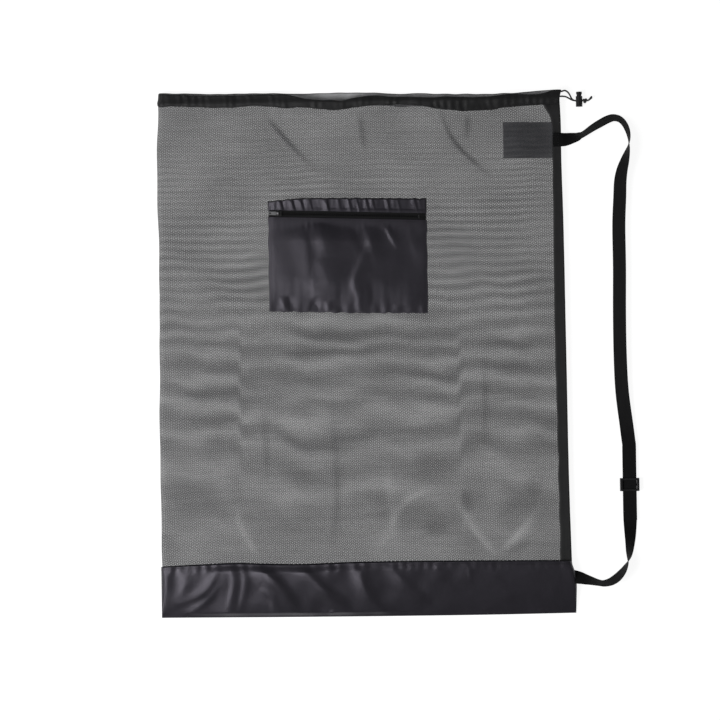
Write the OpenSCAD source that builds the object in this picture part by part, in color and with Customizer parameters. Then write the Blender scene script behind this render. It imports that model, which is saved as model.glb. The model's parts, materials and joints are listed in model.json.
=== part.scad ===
// Flat mesh sack with a drawcord mouth, a zipped pocket, a nylon base and one shoulder strap.
// Millimetres. The sack lies on its back: +X to the strap side, +Y to the mouth, +Z up.

/* [Bag] */
// Width of the mesh tube, from its left fold to the outer edge of the side binding
mesh_w = 590; // [450:5:800]
// Height from the bottom fold to the mouth
bag_h = 760; // [620:5:1000]
// Thickness of the empty sack as it lies
loft = 18; // [16:0.5:22]
// Thickness of the mesh
mesh_t = 0.8; // [0.5:0.1:1.2]
// Thickness of the smooth nylon of base, pocket and patch
cloth_t = 0.8; // [0.5:0.1:1.1]
// Clearance between layers that are sewn together
lap_gap = 0.3; // [0.2:0.05:0.4]

/* [Base] */
// Height of the nylon band round the bottom
base_h = 76; // [66:1:140]
// How far the base stands out past the side binding
base_proud = 8; // [5:1:16]
// Overlap of the base on the mesh
base_lap = 8; // [5:1:10]

/* [Hem and binding] */
// Height of the hem that holds the drawcord
hem_h = 18; // [16:1:30]
// Overlap of the hem on the mesh
hem_lap = 6; // [4:0.5:8]
// Thickness of the hem and binding tape
tape_t = 0.8; // [0.5:0.1:1.1]
// Width of the binding along the side seam
binding_w = 15; // [10:1:25]

/* [Patch] */
// Width of the patch behind the upper strap end
patch_w = 64; // [40:1:100]
// Height of the patch
patch_h = 52; // [36:1:80]

/* [Pocket] */
// Width of the zipped pocket
pocket_w = 230; // [160:1:280]
// Height of the zipped pocket
pocket_h = 167; // [110:1:240]
// Distance from the left fold of the sack to the pocket
pocket_in = 160; // [60:1:200]
// Distance from the mouth down to the pocket
pocket_drop = 154; // [90:1:200]
// Distance from the pocket's top edge down to the zip
zip_drop = 20; // [19:1:30]
// Slant of the zip, down towards the right, in degrees
zip_slant = 2; // [0:0.5:4]
// Width of the turned rim that is sewn to the mesh
rim_w = 6; // [4:0.5:7]

/* [Zip] */
// Width of one zip tape
zip_tape_w = 8; // [6:0.5:9]
// Thickness of the zip tape
zip_tape_t = 0.6; // [0.4:0.1:0.9]
// Distance from tooth to tooth along one row
tooth_pitch = 2.5; // [2.4:0.1:3]
// Thickness of the teeth
tooth_t = 1.5; // [1.2:0.1:2]
// Length of the zip slider
runner_l = 10; // [8:0.5:14]
// Width of the zip slider
runner_w = 8; // [7:0.5:10]
// Thickness of each plate of the zip slider
plate_t = 0.8; // [0.6:0.1:1.2]
// Running clearance of the zip slider
run_gap = 0.25; // [0.15:0.05:0.4]
// Length of the pull tab from its pin
pull_l = 14; // [10:0.5:24]
// Width of the pull tab
pull_w = 5; // [4:0.5:7]
// Radius of the pin the pull tab turns on
pull_pin_r = 0.6; // [0.5:0.05:0.8]
// Radial clearance of the pull tab on its pin
pull_fit = 0.06; // [0.03:0.01:0.1]

/* [Drawcord] */
// Diameter of the drawcord
cord_d = 2.4; // [2:0.1:3]
// Clearance of the drawcord in the hem
cord_gap = 0.35; // [0.25:0.05:0.6]
// Diameter of the knot at the cord ends
knot_d = 7.6; // [7:0.2:10]

/* [Cord lock] */
// Distance from the side seam to the cord lock
lock_out = 25; // [22:1:60]
// Distance from the mouth down to the cords in the lock
lock_drop = 16; // [14:0.5:22]
// Outer diameter of the lock barrel
lock_d = 9.6; // [9.2:0.1:12]
// Length of the lock barrel
barrel_l = 15; // [14.6:0.2:20]
// Diameter of the plunger in the barrel
plunger_d = 7; // [6.8:0.1:7.6]
// Radial clearance of the plunger
plunger_fit = 0.08; // [0.05:0.01:0.1]
// Travel of the plunger
press = 2.5; // [1.5:0.1:2.6]
// Diameter of the press button
button_d = 8.4; // [7.6:0.1:10]
// Thickness of the press button
button_t = 3.4; // [2.5:0.1:5]
// Wire of the plunger spring
spring_wire = 0.4; // [0.3:0.05:0.45]

/* [Strap] */
// Width of the strap webbing
web_w = 20; // [16:1:24]
// Thickness of the strap webbing
web_t = 1.3; // [1:0.1:1.6]
// Distance from the mouth down to the upper strap end
strap_drop = 73; // [60:1:110]
// Distance from the base's top edge down to the lower strap end
strap_low = 24; // [22:1:28]
// How far the strap loop stands out from its sewn ends
strap_reach = 80; // [60:1:140]
// Distance from the lower strap end up to the strap slider
glide_up = 132; // [126:1:160]

/* [Strap slider] */
// Width of the strap slider
glide_w = 28; // [26:0.5:32]
// Length of the strap slider along the strap
glide_l = 19; // [16:0.5:24]
// Thickness of each bar of the strap slider
glide_bar = 1.8; // [1.4:0.1:2.2]
// Clearance of the strap in its slider
glide_gap = 0.3; // [0.2:0.05:0.5]

/* [Hidden] */
$fn = 48;

// The sack and its strap loop are centred on the origin
half = loft / 2;
strap_root = web_t / 2 + lap_gap + 1;
total_w = mesh_w + base_proud + strap_root + strap_reach + glide_w / 2;
bag_left = -total_w / 2;
seam_x = bag_left + mesh_w;
base_right = seam_x + base_proud;
hinge_x = base_right + strap_root;
top_y = bag_h / 2;
low_y = -bag_h / 2;
base_top = low_y + base_h;
hem_low = top_y - hem_h;
upper_y = top_y - strap_drop;
lower_y = base_top - strap_low;

// Depths below the outer face of the sack
mesh_o = max(tape_t, cloth_t) + lap_gap;
mesh_i = mesh_o + mesh_t;
hem_t = cord_d + 2 * cord_gap + 2 * tape_t;
leg_t = mesh_i + lap_gap + tape_t;

// The right round of the mesh stops at the binding, and a flat lip goes on into it
round_x = seam_x - binding_w - lap_gap - (half - mesh_o);
slot_half = max(mesh_t, web_t / 2) + lap_gap;

// Heights of the pocket and zip layers on the front mesh
front_z = loft - mesh_o;
run_z0 = front_z + lap_gap;
run_z1 = run_z0 + plate_t;
tape_z0 = run_z1 + run_gap;
tape_z1 = tape_z0 + zip_tape_t;
teeth_z1 = tape_z0 + tooth_t;
run_z2 = teeth_z1 + run_gap;
run_z3 = run_z2 + plate_t;
panel_z0 = tape_z1 + lap_gap;
panel_z1 = panel_z0 + cloth_t;

// Places of the pocket and zip
pocket_l = bag_left + pocket_in;
pocket_r = pocket_l + pocket_w;
pocket_top = top_y - pocket_drop;
pocket_low = pocket_top - pocket_h;
zip_y = pocket_top - zip_drop;
zip_open = runner_w / 2 + 0.75;
spine_y = 1.4;
tape_y = 2.5;
slant_in = (tape_y + zip_tape_w) * sin(zip_slant);
zip_l = pocket_l + rim_w + lap_gap + slant_in;
zip_r = pocket_r - rim_w - lap_gap - slant_in;
run_x0 = zip_l + 3;
teeth_l = run_x0 + 3;
teeth_n = floor((zip_r - 3.5 - teeth_l) / tooth_pitch);
pin_x = run_x0 + runner_l / 2;
eye_r = pull_pin_r + 0.8;
pin_z = run_z3 + eye_r + 0.3;

// Places of the cords and their lock
cord_y = (hem_low + hem_lap + tape_t + top_y - tape_t) / 2;
lock_x = seam_x + lock_out;
lock_y = top_y - lock_drop;
lock_z = lock_d / 2 + 0.1;
cord_z = cord_d / 2 + 0.06;
cord_slot_z = cord_z + cord_d / 2 + 0.14;
cord_slot_y = cord_d / 2 + 0.15;
spring_room = press + 1.9;
barrel_y0 = lock_y - cord_slot_y - 1.4 - spring_room - 1.5;
barrel_y1 = barrel_y0 + barrel_l;
foot_y = lock_y - cord_slot_y - 1.4;
knot_x = lock_x + lock_d / 2 + 0.6 + knot_flat();

// Heights of the two webs in the strap slider
floor_gap = 0.3;
web_z1 = floor_gap + glide_bar + glide_gap + web_t / 2;
web_z2 = web_z1 + web_t + 0.2;
glide_x = hinge_x + strap_reach;
glide_y = lower_y + glide_up;
glide_top = web_z2 + web_t / 2 + glide_gap;

// Half the knot's length between the two flats where the cords meet it
function knot_flat() = sqrt(knot_d * knot_d / 4 - pow(cord_z + cord_d / 2 - 0.2, 2));

// A smooth line through hand-placed points
function bend(a, b, c, d, t) =
    0.5 * (2 * b + (c - a) * t + (2 * a - 5 * b + 4 * c - d) * t * t
    + (3 * b - a - 3 * c + d) * t * t * t);
function smooth(p, n) = concat(
    [for (i = [0 : len(p) - 2], k = [0 : n - 1])
        bend(p[max(i - 1, 0)], p[i], p[i + 1], p[min(i + 2, len(p) - 1)], k / n)],
    [p[len(p) - 1]]);
function unit(v) = v / norm(v);
function xyz(p) = [p[0], p[1], p[2]];
function heading(p, i, first) =
    i == 0 ? first : unit(xyz(p[min(i + 1, len(p) - 1)]) - xyz(p[i - 1]));

// One four-cornered ring of webbing, tilted about the way it runs
function web_ring(p, ahead) =
    let (side = unit(cross(ahead, [0, 0, 1])),
        rise = cross(side, ahead),
        across = side * cos(p[3]) + rise * sin(p[3]),
        through = cross(across, ahead),
        w = across * web_w / 2,
        t = through * web_t / 2,
        c = xyz(p))
    [c + w + t, c - w + t, c - w - t, c + w - t];

// One round ring of a cord or wire
function cord_ring(p, ahead, r, n) =
    let (side = unit(cross(ahead, [0, 0, 1])), rise = cross(side, ahead))
    [for (k = [0 : n - 1]) xyz(p) + r * (side * cos(360 * k / n) + rise * sin(360 * k / n))];

// A closed skin over a row of rings
module skin(rings) {
    n = len(rings[0]);
    m = len(rings);
    polyhedron(
        points = [for (r = rings, p = r) p],
        faces = concat(
            [[for (i = [n - 1 : -1 : 0]) i]],
            [for (j = [0 : m - 2], i = [0 : n - 1])
                [j * n + i, (j + 1) * n + (i + 1) % n, (j + 1) * n + i]],
            [for (j = [0 : m - 2], i = [0 : n - 1])
                [j * n + i, j * n + (i + 1) % n, (j + 1) * n + (i + 1) % n]],
            [[for (i = [0 : n - 1]) (m - 1) * n + i]]),
        convexity = 8);
}

module web(route) {
    p = smooth(route, 3);
    skin([for (i = [0 : len(p) - 1]) web_ring(p[i], heading(p, i, [1, 0, 0]))]);
}

module cord(route, n) {
    p = smooth(route, n);
    skin([for (i = [0 : len(p) - 1]) cord_ring(p[i], heading(p, i, [1, 0, 0]), cord_d / 2, 8)]);
}

// Lays a flat drawing in X and Z, and pulls it along Y from y0 to y1
module along_y(y0, y1) {
    translate([0, y1, 0]) rotate([90, 0, 0]) linear_extrude(y1 - y0) children();
}

// Flat drawing of the sack's section, d below the outer face, rounded at the left fold
module left_fold(d, right) {
    translate([bag_left + half, half]) circle(half - d);
    translate([bag_left + half, d]) square([right - bag_left - half, loft - 2 * d]);
}

// Hairpin strip round the left fold, between two depths, open at the right
module hairpin(d0, d1, y0, y1, right) {
    along_y(y0, y1) difference() {
        left_fold(d0, right);
        left_fold(d1, right + 1);
    }
}

// Flat drawing of the mesh tube's section
module mesh_section(d) {
    left_fold(d, round_x);
    translate([round_x, half]) circle(half - d);
}

module mesh_body() {
    y0 = base_top - base_lap + lap_gap;
    y1 = hem_low + hem_lap - lap_gap;
    lip_r = seam_x - tape_t - lap_gap;
    color([0.16, 0.16, 0.17]) difference() {
        union() {
            along_y(y0, y1) difference() {
                mesh_section(mesh_o);
                mesh_section(mesh_i);
            }
            translate([round_x + half - mesh_i, y0, half - mesh_t])
                cube([lip_r - round_x - half + mesh_i, y1 - y0, 2 * mesh_t]);
        }
        translate([round_x - 1, hem_low - lap_gap, -1])
            cube([mesh_w, hem_h, loft + 2]);
        translate([seam_x - binding_w + 1, upper_y - web_w / 2 - lap_gap, half - 5])
            cube([binding_w, web_w + 2 * lap_gap, 10]);
    }
}

// Section of the base a share f of the way from its lap down to the bottom fold
function base_rise(f) = half + (cloth_t + 0.3 - half) * f;
function base_ring(y, f, d) =
    let (a = base_rise(f), r = a - d)
    concat(
        [for (k = [0 : 8]) [base_right - a + r * cos(90 - 22.5 * k), y, a + r * sin(90 - 22.5 * k)]],
        [for (k = [0 : 8]) [bag_left + a + r * cos(270 - 22.5 * k), y, a + r * sin(270 - 22.5 * k)]]);

module base_band() {
    lap_y = base_top - base_lap;
    shares = [0, 0.3, 0.6, 0.85, 1];
    span = lap_y - low_y;
    color([0.13, 0.13, 0.15]) difference() {
        skin(concat([base_ring(base_top, 0, 0)],
            [for (f = shares) base_ring(lap_y - span * f, f, 0)]));
        skin(concat([base_ring(base_top + 1, 0, cloth_t)],
            [for (f = shares) base_ring(lap_y - (span - cloth_t) * f, f, cloth_t)]));
        translate([base_right - 5, lower_y - web_w / 2 - lap_gap, half - web_t / 2 - lap_gap])
            cube([8, web_w + 2 * lap_gap, web_t + 2 * lap_gap]);
    }
}

module hem_casing() {
    bend_y = hem_low + hem_lap;
    color([0.09, 0.09, 0.10]) difference() {
        union() {
            hairpin(0, leg_t, hem_low, bend_y + 0.1, seam_x);
            hairpin(0, hem_t, bend_y, top_y, seam_x);
        }
        hairpin(tape_t, hem_t - tape_t, bend_y + tape_t, top_y - tape_t, seam_x + 2);
        hairpin(mesh_o - lap_gap, mesh_i + lap_gap, hem_low - 1, bend_y, seam_x + 2);
    }
}

module side_binding() {
    y0 = base_top + lap_gap;
    y1 = hem_low - lap_gap;
    color([0.09, 0.09, 0.10]) difference() {
        translate([seam_x - binding_w, y0, half - slot_half - tape_t])
            cube([binding_w, y1 - y0, 2 * slot_half + 2 * tape_t]);
        translate([seam_x - binding_w - 1, y0 - 1, half - slot_half])
            cube([binding_w + 1 - tape_t, y1 - y0 + 2, 2 * slot_half]);
        translate([seam_x - 5, upper_y - web_w / 2 - lap_gap, half - slot_half])
            cube([10, web_w + 2 * lap_gap, 2 * slot_half]);
    }
}

module strap_patch() {
    color([0.12, 0.12, 0.13])
        translate([round_x - patch_w, upper_y - patch_h / 2, loft - mesh_i - lap_gap - cloth_t])
            cube([patch_w, patch_h, cloth_t]);
}

// Sewn end of the strap, from inside the seam to just short of the line it folds on
module sewn_end(x0, y) {
    color([0.07, 0.07, 0.08])
        translate([x0, y - web_w / 2, half - web_t / 2])
            cube([hinge_x - web_t / 2 - lap_gap - x0, web_w, web_t]);
}

module strap_end_upper() {
    sewn_end(seam_x - binding_w + 2, upper_y);
}

module strap_end_lower() {
    sewn_end(base_right - 12, lower_y);
}

// Panel with a turned rim below it along both sides and one long edge
module rimmed(y0, y1, rim_y) {
    rim_h = panel_z0 - run_z0 + cloth_t / 2;
    translate([pocket_l, y0, panel_z0]) cube([pocket_w, y1 - y0, cloth_t]);
    translate([pocket_l, y0, run_z0]) cube([rim_w, y1 - y0, rim_h]);
    translate([pocket_r - rim_w, y0, run_z0]) cube([rim_w, y1 - y0, rim_h]);
    translate([pocket_l, rim_y, run_z0]) cube([pocket_w, rim_w, rim_h]);
}

// Turns a piece down towards the right, about the zip's line on the pocket's left side
module slanted() {
    translate([pocket_l, zip_y, 0]) rotate([0, 0, -zip_slant])
        translate([-pocket_l, -zip_y, 0]) children();
}

// A slanted block over the whole pocket from y0 to y1, which trims an edge along the zip
module trim(y0, y1) {
    slanted() translate([pocket_l - 20, y0, run_z0 - 1])
        cube([pocket_w + 40, y1 - y0, panel_z1 - run_z0 + 2]);
}

module pocket_panel() {
    color([0.12, 0.12, 0.14]) difference() {
        rimmed(pocket_low, zip_y - zip_open + 1, pocket_low);
        trim(zip_y - zip_open, pocket_top + 20);
    }
}

module pocket_strip() {
    fall = pocket_w * tan(zip_slant);
    color([0.12, 0.12, 0.14]) difference() {
        rimmed(zip_y + zip_open - fall - 1, pocket_top, pocket_top - rim_w);
        trim(zip_y - zip_drop - 20, zip_y + zip_open);
    }
}

module zip_tape_upper() {
    color([0.08, 0.08, 0.09])
        slanted() translate([zip_l, zip_y + tape_y, tape_z0])
            cube([zip_r - zip_l, zip_tape_w, zip_tape_t]);
}

module zip_tape_lower() {
    color([0.08, 0.08, 0.09])
        slanted() translate([zip_l, zip_y - tape_y - zip_tape_w, tape_z0])
            cube([zip_r - zip_l, zip_tape_w, zip_tape_t]);
}

// Flat drawing of a row of teeth on its spine, teeth pointing down in Y
module tooth_row(shift) {
    tooth = tooth_pitch * 0.36;
    polygon(concat(
        [[teeth_l, tape_y - 0.1], [teeth_l, spine_y]],
        [for (i = [0 : teeth_n - 2], q = [0 : 3])
            [teeth_l + tooth_pitch * (i + shift) + (q < 2 ? 0 : tooth),
                q == 0 || q == 3 ? spine_y : -0.9]],
        [[teeth_l + tooth_pitch * teeth_n, spine_y],
            [teeth_l + tooth_pitch * teeth_n, tape_y - 0.1]]));
}

module zip_teeth_upper() {
    color([0.10, 0.10, 0.11])
        slanted() translate([0, zip_y, tape_z0]) linear_extrude(tooth_t) tooth_row(0.2);
}

module zip_teeth_lower() {
    color([0.10, 0.10, 0.11])
        slanted() translate([0, zip_y, tape_z0])
            linear_extrude(tooth_t) mirror([0, 1]) tooth_row(0.7);
}

module zip_stops() {
    color([0.30, 0.30, 0.31]) slanted() {
        for (s = [-1, 1])
            translate([zip_l + 0.6, zip_y + (s > 0 ? 0.5 : -tape_y + 0.1), tape_z0])
                cube([1.8, tape_y - 0.6, tooth_t]);
        translate([teeth_l + tooth_pitch * teeth_n + 0.2, zip_y - tape_y + 0.1, tape_z0])
            cube([1.8, 2 * tape_y - 0.2, tooth_t]);
    }
}

// Two plates on a wedge, with a pin on two posts on top
module zip_runner() {
    post = eye_r + 0.5;
    color([0.45, 0.45, 0.46]) slanted() {
        translate([run_x0, zip_y - runner_w / 2, run_z0]) cube([runner_l, runner_w, plate_t]);
        translate([run_x0, zip_y - runner_w / 2, run_z2]) cube([runner_l, runner_w, plate_t]);
        translate([run_x0 + 0.6, zip_y - 0.7, run_z0 + plate_t / 2])
            cube([1.8, 1.4, run_z2 - run_z0]);
        translate([pin_x, zip_y + 3.1, pin_z]) rotate([90, 0, 0])
            cylinder(r = pull_pin_r, h = 6.2);
        for (s = [-1, 1])
            translate([pin_x - post / 2, zip_y + s * 2.55 - 0.75, run_z2 + plate_t / 2])
                cube([post, 1.5, pin_z - run_z2 - plate_t / 2 + pull_pin_r + 0.3]);
    }
}

module zip_pull() {
    reach = eye_r + 1.4;
    color([0.48, 0.48, 0.49]) slanted() difference() {
        union() {
            translate([pin_x, zip_y + 1.5, pin_z]) rotate([90, 0, 0]) cylinder(r = eye_r, h = 3);
            translate([pin_x - reach - 0.6, zip_y - 1.5, pin_z - 0.6]) cube([reach + 0.6, 3, 1.2]);
            translate([pin_x - pull_l, zip_y - pull_w / 2, pin_z - 0.6])
                cube([pull_l - reach, pull_w, 1.2]);
        }
        translate([pin_x, zip_y + 3, pin_z]) rotate([90, 0, 0])
            cylinder(r = pull_pin_r + pull_fit, h = 6);
        translate([pin_x - pull_l + 2.6, zip_y, pin_z - 2]) cylinder(r = 1.2, h = 4);
    }
}

// The drawcord's turn at the left fold, inside the hem
module drawcord_bight() {
    color([0.17, 0.17, 0.18])
        translate([bag_left + half, cord_y, half]) rotate([90, 0, 0]) rotate([0, 0, 90])
            rotate_extrude(angle = 180) translate([half - hem_t / 2, 0]) circle(cord_d / 2);
}

module cord_run(z) {
    color([0.17, 0.17, 0.18])
        translate([bag_left + half, cord_y, z]) rotate([0, 90, 0])
            cylinder(d = cord_d, h = seam_x - bag_left - half);
}

module drawcord_run_front() {
    cord_run(loft - hem_t / 2);
}

module drawcord_run_back() {
    cord_run(hem_t / 2);
}

// Free ends of the drawcord, from the hem through the lock to the knot
module cord_end(way, z0, z1) {
    across = lock_y - cord_y;
    color([0.17, 0.17, 0.18]) cord(concat(
        [for (p = way) [seam_x + p[0], cord_y + across * p[1] + p[3], z0 + (z1 - z0) * p[2]]],
        [[lock_x - 5, lock_y, z1], [lock_x, lock_y, z1], [knot_x - knot_flat(), lock_y, z1]]), 2);
}

module drawcord_end_front() {
    cord_end([[0, 0, 0, 0], [5, 0.2, 0.06, 0], [10, 0.55, 0.4, 0], [15, 0.88, 0.85, 0]],
        loft - hem_t / 2, lock_z + cord_z);
}

module drawcord_end_back() {
    cord_end([[0, 0, 0, 0], [5, 0, 0, 1], [10, 0.25, 0.2, 1], [15, 0.82, 0.8, 0]],
        hem_t / 2, lock_z - cord_z);
}

// The knot is a ball with two flats, where the cords go in and their tails come out
module cord_knot() {
    color([0.17, 0.17, 0.18])
        translate([knot_x, lock_y, lock_z]) rotate([0, 90, 0])
            rotate_extrude() intersection() {
                circle(d = knot_d);
                translate([0, -knot_flat()]) square([knot_d, 2 * knot_flat()]);
            }
}

module drawcord_tails() {
    x = knot_x + knot_flat();
    color([0.17, 0.17, 0.18]) for (s = [-1, 1])
        cord([[x, lock_y, lock_z + s * cord_z], [x + 2, lock_y + 0.4, lock_z + s * cord_z],
            [x + 4, lock_y + 2 - s * 0.4, lock_z + s * cord_z],
            [x + 7, lock_y + 5 - s, lock_z + s * cord_z]], 2);
}

module lock_barrel() {
    color([0.10, 0.10, 0.11]) difference() {
        translate([lock_x, barrel_y1, lock_z]) rotate([90, 0, 0])
            cylinder(d = lock_d, h = barrel_l);
        translate([lock_x, barrel_y1 + 1, lock_z]) rotate([90, 0, 0])
            cylinder(d = plunger_d + 2 * plunger_fit, h = barrel_l - 0.5);
        translate([lock_x - lock_d, lock_y - cord_slot_y, lock_z - cord_slot_z])
            cube([2 * lock_d, 2 * cord_slot_y, 2 * cord_slot_z]);
    }
}

module lock_plunger() {
    stem_top = barrel_y1 + press + 0.5;
    color([0.10, 0.10, 0.11]) difference() {
        union() {
            translate([lock_x, stem_top + 0.1, lock_z]) rotate([90, 0, 0])
                cylinder(d = plunger_d, h = stem_top + 0.1 - foot_y);
            translate([lock_x, stem_top + button_t, lock_z]) rotate([90, 0, 0])
                cylinder(d = button_d, h = button_t);
        }
        translate([lock_x - lock_d, lock_y - cord_slot_y, lock_z - cord_slot_z])
            cube([2 * lock_d, 2 * cord_slot_y + press, 2 * cord_slot_z]);
    }
}

// Coil spring under the plunger: one unbroken wire, eight rings to a turn
module lock_spring() {
    turns = 3;
    coil_r = plunger_d / 2 - 1;
    y0 = barrel_y0 + 1.5 + spring_wire / 2 + 0.15;
    rise = spring_room - spring_wire - 0.3;
    p = [for (k = [0 : 8 * turns])
        [lock_x + coil_r * cos(45 * k), y0 + rise * k / (8 * turns), lock_z + coil_r * sin(45 * k)]];
    gap = min([for (i = [0 : len(p) - 1], k = [0 : len(p) - 1])
        abs(i - k) < 5 ? 99 : norm(p[i] - p[k]) - spring_wire]);
    echo("least gap of the spring to itself", gap);
    color([0.62, 0.62, 0.63]) skin([for (i = [0 : len(p) - 1])
        let (out = unit([p[i][0] - lock_x, 0, p[i][2] - lock_z]), up = [0, 1, 0])
        [for (q = [0 : 5]) p[i] + spring_wire / 2 * (up * cos(60 * q) + out * sin(60 * q))]]);
}

// Height of the web's middle line when its lower edge lies on the floor
function lie(tilt) = floor_gap + abs(sin(tilt)) * web_w / 2 + abs(cos(tilt)) * web_t / 2;

// Bends of the strap beside its sewn ends: out, along, tilt
upper_bend = [[5, 0, 2], [11, 2, 16], [17, 6, 36], [25, 12, 54], [34, 19, 62], [44, 25, 62], [55, 29, 60],
    [64, 30, 60], [73, 27, 60], [79, 20, 64], [83, 12, 72], [85, 2, 82], [84, -8, 95],
    [82, -18, 112], [78, -32, 128], [75, -46, 140], [73, -62, 148], [72, -84, 153]];
lower_bend = [[5, 0, 2], [11, -1, 16], [17, -4, 38], [25, -7, 58], [34, -9, 68], [44, -9, 66], [54, -4, 62],
    [64, 5, 66], [71, 15, 80], [74, 25, 98], [76, 37, 130], [78, 48, 155], [79, 60, 172]];
// The long run between the upper bend and the slider: share, out, tilt
long_run = [[0.12, 70, 155], [0.3, 70, 155], [0.48, 69, 155], [0.66, 69, 156], [0.82, 71, 160]];

// Shifts a hand-placed bend to the strap's own reach and width
function bent(list, y) = [for (p = list)
    [hinge_x + p[0] * strap_reach / 80, y + p[1], p[2] < 50 ? half : lie(p[2]), p[2]]];

module strap_upper_web() {
    run_top = upper_y - 84;
    run_low = glide_y + 75;
    color([0.07, 0.07, 0.08]) {
        web(concat([[hinge_x, upper_y, half, 0]], bent(upper_bend, upper_y),
            [for (p = long_run) [hinge_x + p[1] * strap_reach / 80,
                run_top + (run_low - run_top) * p[0], lie(p[2]), p[2]]],
            [[hinge_x + strap_reach * 0.96, run_low + 12, lie(168), 168],
                [glide_x - 1, glide_y + 66, web_z2 + 0.1, 178], [glide_x, glide_y + 57, web_z2, 180],
                [glide_x, glide_y + 40, web_z2, 180], [glide_x, glide_y, web_z2, 180],
                [glide_x, glide_y - 40, web_z2, 180], [glide_x, glide_y - 52, web_z2, 180]]));
        translate([hinge_x, upper_y + web_w / 2 - 0.5, half]) rotate([90, 0, 0])
            cylinder(r = web_t / 2 - 0.04, h = web_w - 1);
    }
}

module strap_lower_web() {
    color([0.07, 0.07, 0.08]) {
        web(concat([[hinge_x, lower_y, half, 0]], bent(lower_bend, lower_y),
            [[glide_x, lower_y + 72, web_z1 - 0.1, 180], [glide_x, glide_y - 52, web_z1, 180],
                [glide_x, glide_y - 30, web_z1, 180], [glide_x, glide_y, web_z1, 180],
                [glide_x, glide_y + 30, web_z1, 180], [glide_x, glide_y + 56, web_z1, 180]]));
        translate([hinge_x, lower_y + web_w / 2 - 0.5, half]) rotate([90, 0, 0])
            cylinder(r = web_t / 2 - 0.04, h = web_w - 1);
    }
}

// Strap slider: one bar below the webs, two above them, joined by side rails
module strap_slider() {
    rail = (glide_w - web_w) / 2 - glide_gap - 0.1;
    end_bar = glide_l * 0.16;
    color([0.09, 0.09, 0.10]) {
        for (s = [-1, 1]) {
            translate([glide_x + s * (glide_w - rail) / 2 - rail / 2, glide_y - glide_l / 2, floor_gap])
                cube([rail, glide_l, glide_top + glide_bar - floor_gap]);
            translate([glide_x - glide_w / 2 + rail / 2, glide_y + s * (glide_l - end_bar) / 2
                - end_bar / 2, glide_top])
                cube([glide_w - rail, end_bar, glide_bar]);
        }
        translate([glide_x - glide_w / 2 + rail / 2, glide_y - end_bar / 2, floor_gap])
            cube([glide_w - rail, end_bar, glide_bar]);
    }
}

mesh_body();
base_band();
hem_casing();
side_binding();
strap_patch();
strap_end_upper();
strap_end_lower();
pocket_panel();
pocket_strip();
zip_tape_upper();
zip_tape_lower();
zip_teeth_upper();
zip_teeth_lower();
zip_stops();
zip_runner();
zip_pull();
drawcord_bight();
drawcord_run_front();
drawcord_run_back();
drawcord_end_front();
drawcord_end_back();
cord_knot();
drawcord_tails();
lock_barrel();
lock_plunger();
lock_spring();
strap_upper_web();
strap_lower_web();
strap_slider();
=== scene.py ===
"""Looks of a flat mesh sack with a drawstring mouth, a zip pocket and one shoulder strap.

The sack lies on its back on a pale floor. Lengths in this file are millimetres unless a
property says otherwise, and cloth is made as grids of points that follow the solids.
"""

import json
import math

import bmesh
import bpy
import numpy as np
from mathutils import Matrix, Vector


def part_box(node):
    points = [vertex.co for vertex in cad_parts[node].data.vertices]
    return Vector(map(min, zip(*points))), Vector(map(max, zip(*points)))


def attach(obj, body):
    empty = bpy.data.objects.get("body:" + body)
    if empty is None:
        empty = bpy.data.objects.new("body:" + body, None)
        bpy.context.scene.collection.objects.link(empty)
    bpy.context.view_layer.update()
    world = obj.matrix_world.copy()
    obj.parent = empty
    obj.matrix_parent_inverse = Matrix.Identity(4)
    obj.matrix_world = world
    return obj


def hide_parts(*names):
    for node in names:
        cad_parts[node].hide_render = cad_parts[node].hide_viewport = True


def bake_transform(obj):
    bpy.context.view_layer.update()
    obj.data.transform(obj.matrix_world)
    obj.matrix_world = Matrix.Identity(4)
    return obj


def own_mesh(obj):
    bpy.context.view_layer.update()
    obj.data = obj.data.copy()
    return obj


bl_info = {
    "name": "Mesh drawstring sack",
    "version": (1, 0, 0),
    "blender": (4, 5, 0),
    "location": "View3D > Sidebar > Sack",
    "description": "Dresses the solids of a mesh drawstring sack with cloth, cords and fittings",
    "category": "Object",
}

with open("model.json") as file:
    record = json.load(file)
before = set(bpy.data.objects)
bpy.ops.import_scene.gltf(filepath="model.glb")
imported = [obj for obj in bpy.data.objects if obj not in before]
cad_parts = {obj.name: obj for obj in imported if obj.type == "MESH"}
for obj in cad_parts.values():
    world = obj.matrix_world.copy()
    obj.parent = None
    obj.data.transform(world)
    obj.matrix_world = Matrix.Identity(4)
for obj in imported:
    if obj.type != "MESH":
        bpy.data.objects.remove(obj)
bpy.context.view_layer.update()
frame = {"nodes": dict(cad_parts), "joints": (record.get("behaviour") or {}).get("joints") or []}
NODES = frame["nodes"]
JOINTS = {joint["name"]: joint for joint in frame["joints"]}
MM = 0.001
# Lines that the stitches follow, filled as each piece is made, and how far they lie above the cloth
STITCH_LINES = []
STITCH_LIFT = 0.25


def node_box(name):
    """Lowest and highest corner of a solid, in millimetres."""
    low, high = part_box(name)
    return np.array(low) / MM, np.array(high) / MM


def node_middle(name):
    """Middle of a solid's box, in millimetres."""
    low, high = node_box(name)
    return (low + high) / 2


HEM_LOW, HEM_HIGH = node_box("hem_casing")
BASE_LOW, BASE_HIGH = node_box("base_band")
BINDING_LOW, BINDING_HIGH = node_box("side_binding")
PANEL_LOW, PANEL_HIGH = node_box("pocket_panel")
STRIP_LOW, STRIP_HIGH = node_box("pocket_strip")
PATCH_LOW, PATCH_HIGH = node_box("strap_patch")
KNOT_LOW, KNOT_HIGH = node_box("cord_knot")
HINGE = np.array(JOINTS["strap_swing"]["pos_m"]) / MM
ZIP_PIN = np.array(JOINTS["zip_pull_flip"]["pos_m"]) / MM
ZIP_AXIS = np.array(JOINTS["zip_slide"]["axis"], float)

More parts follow.
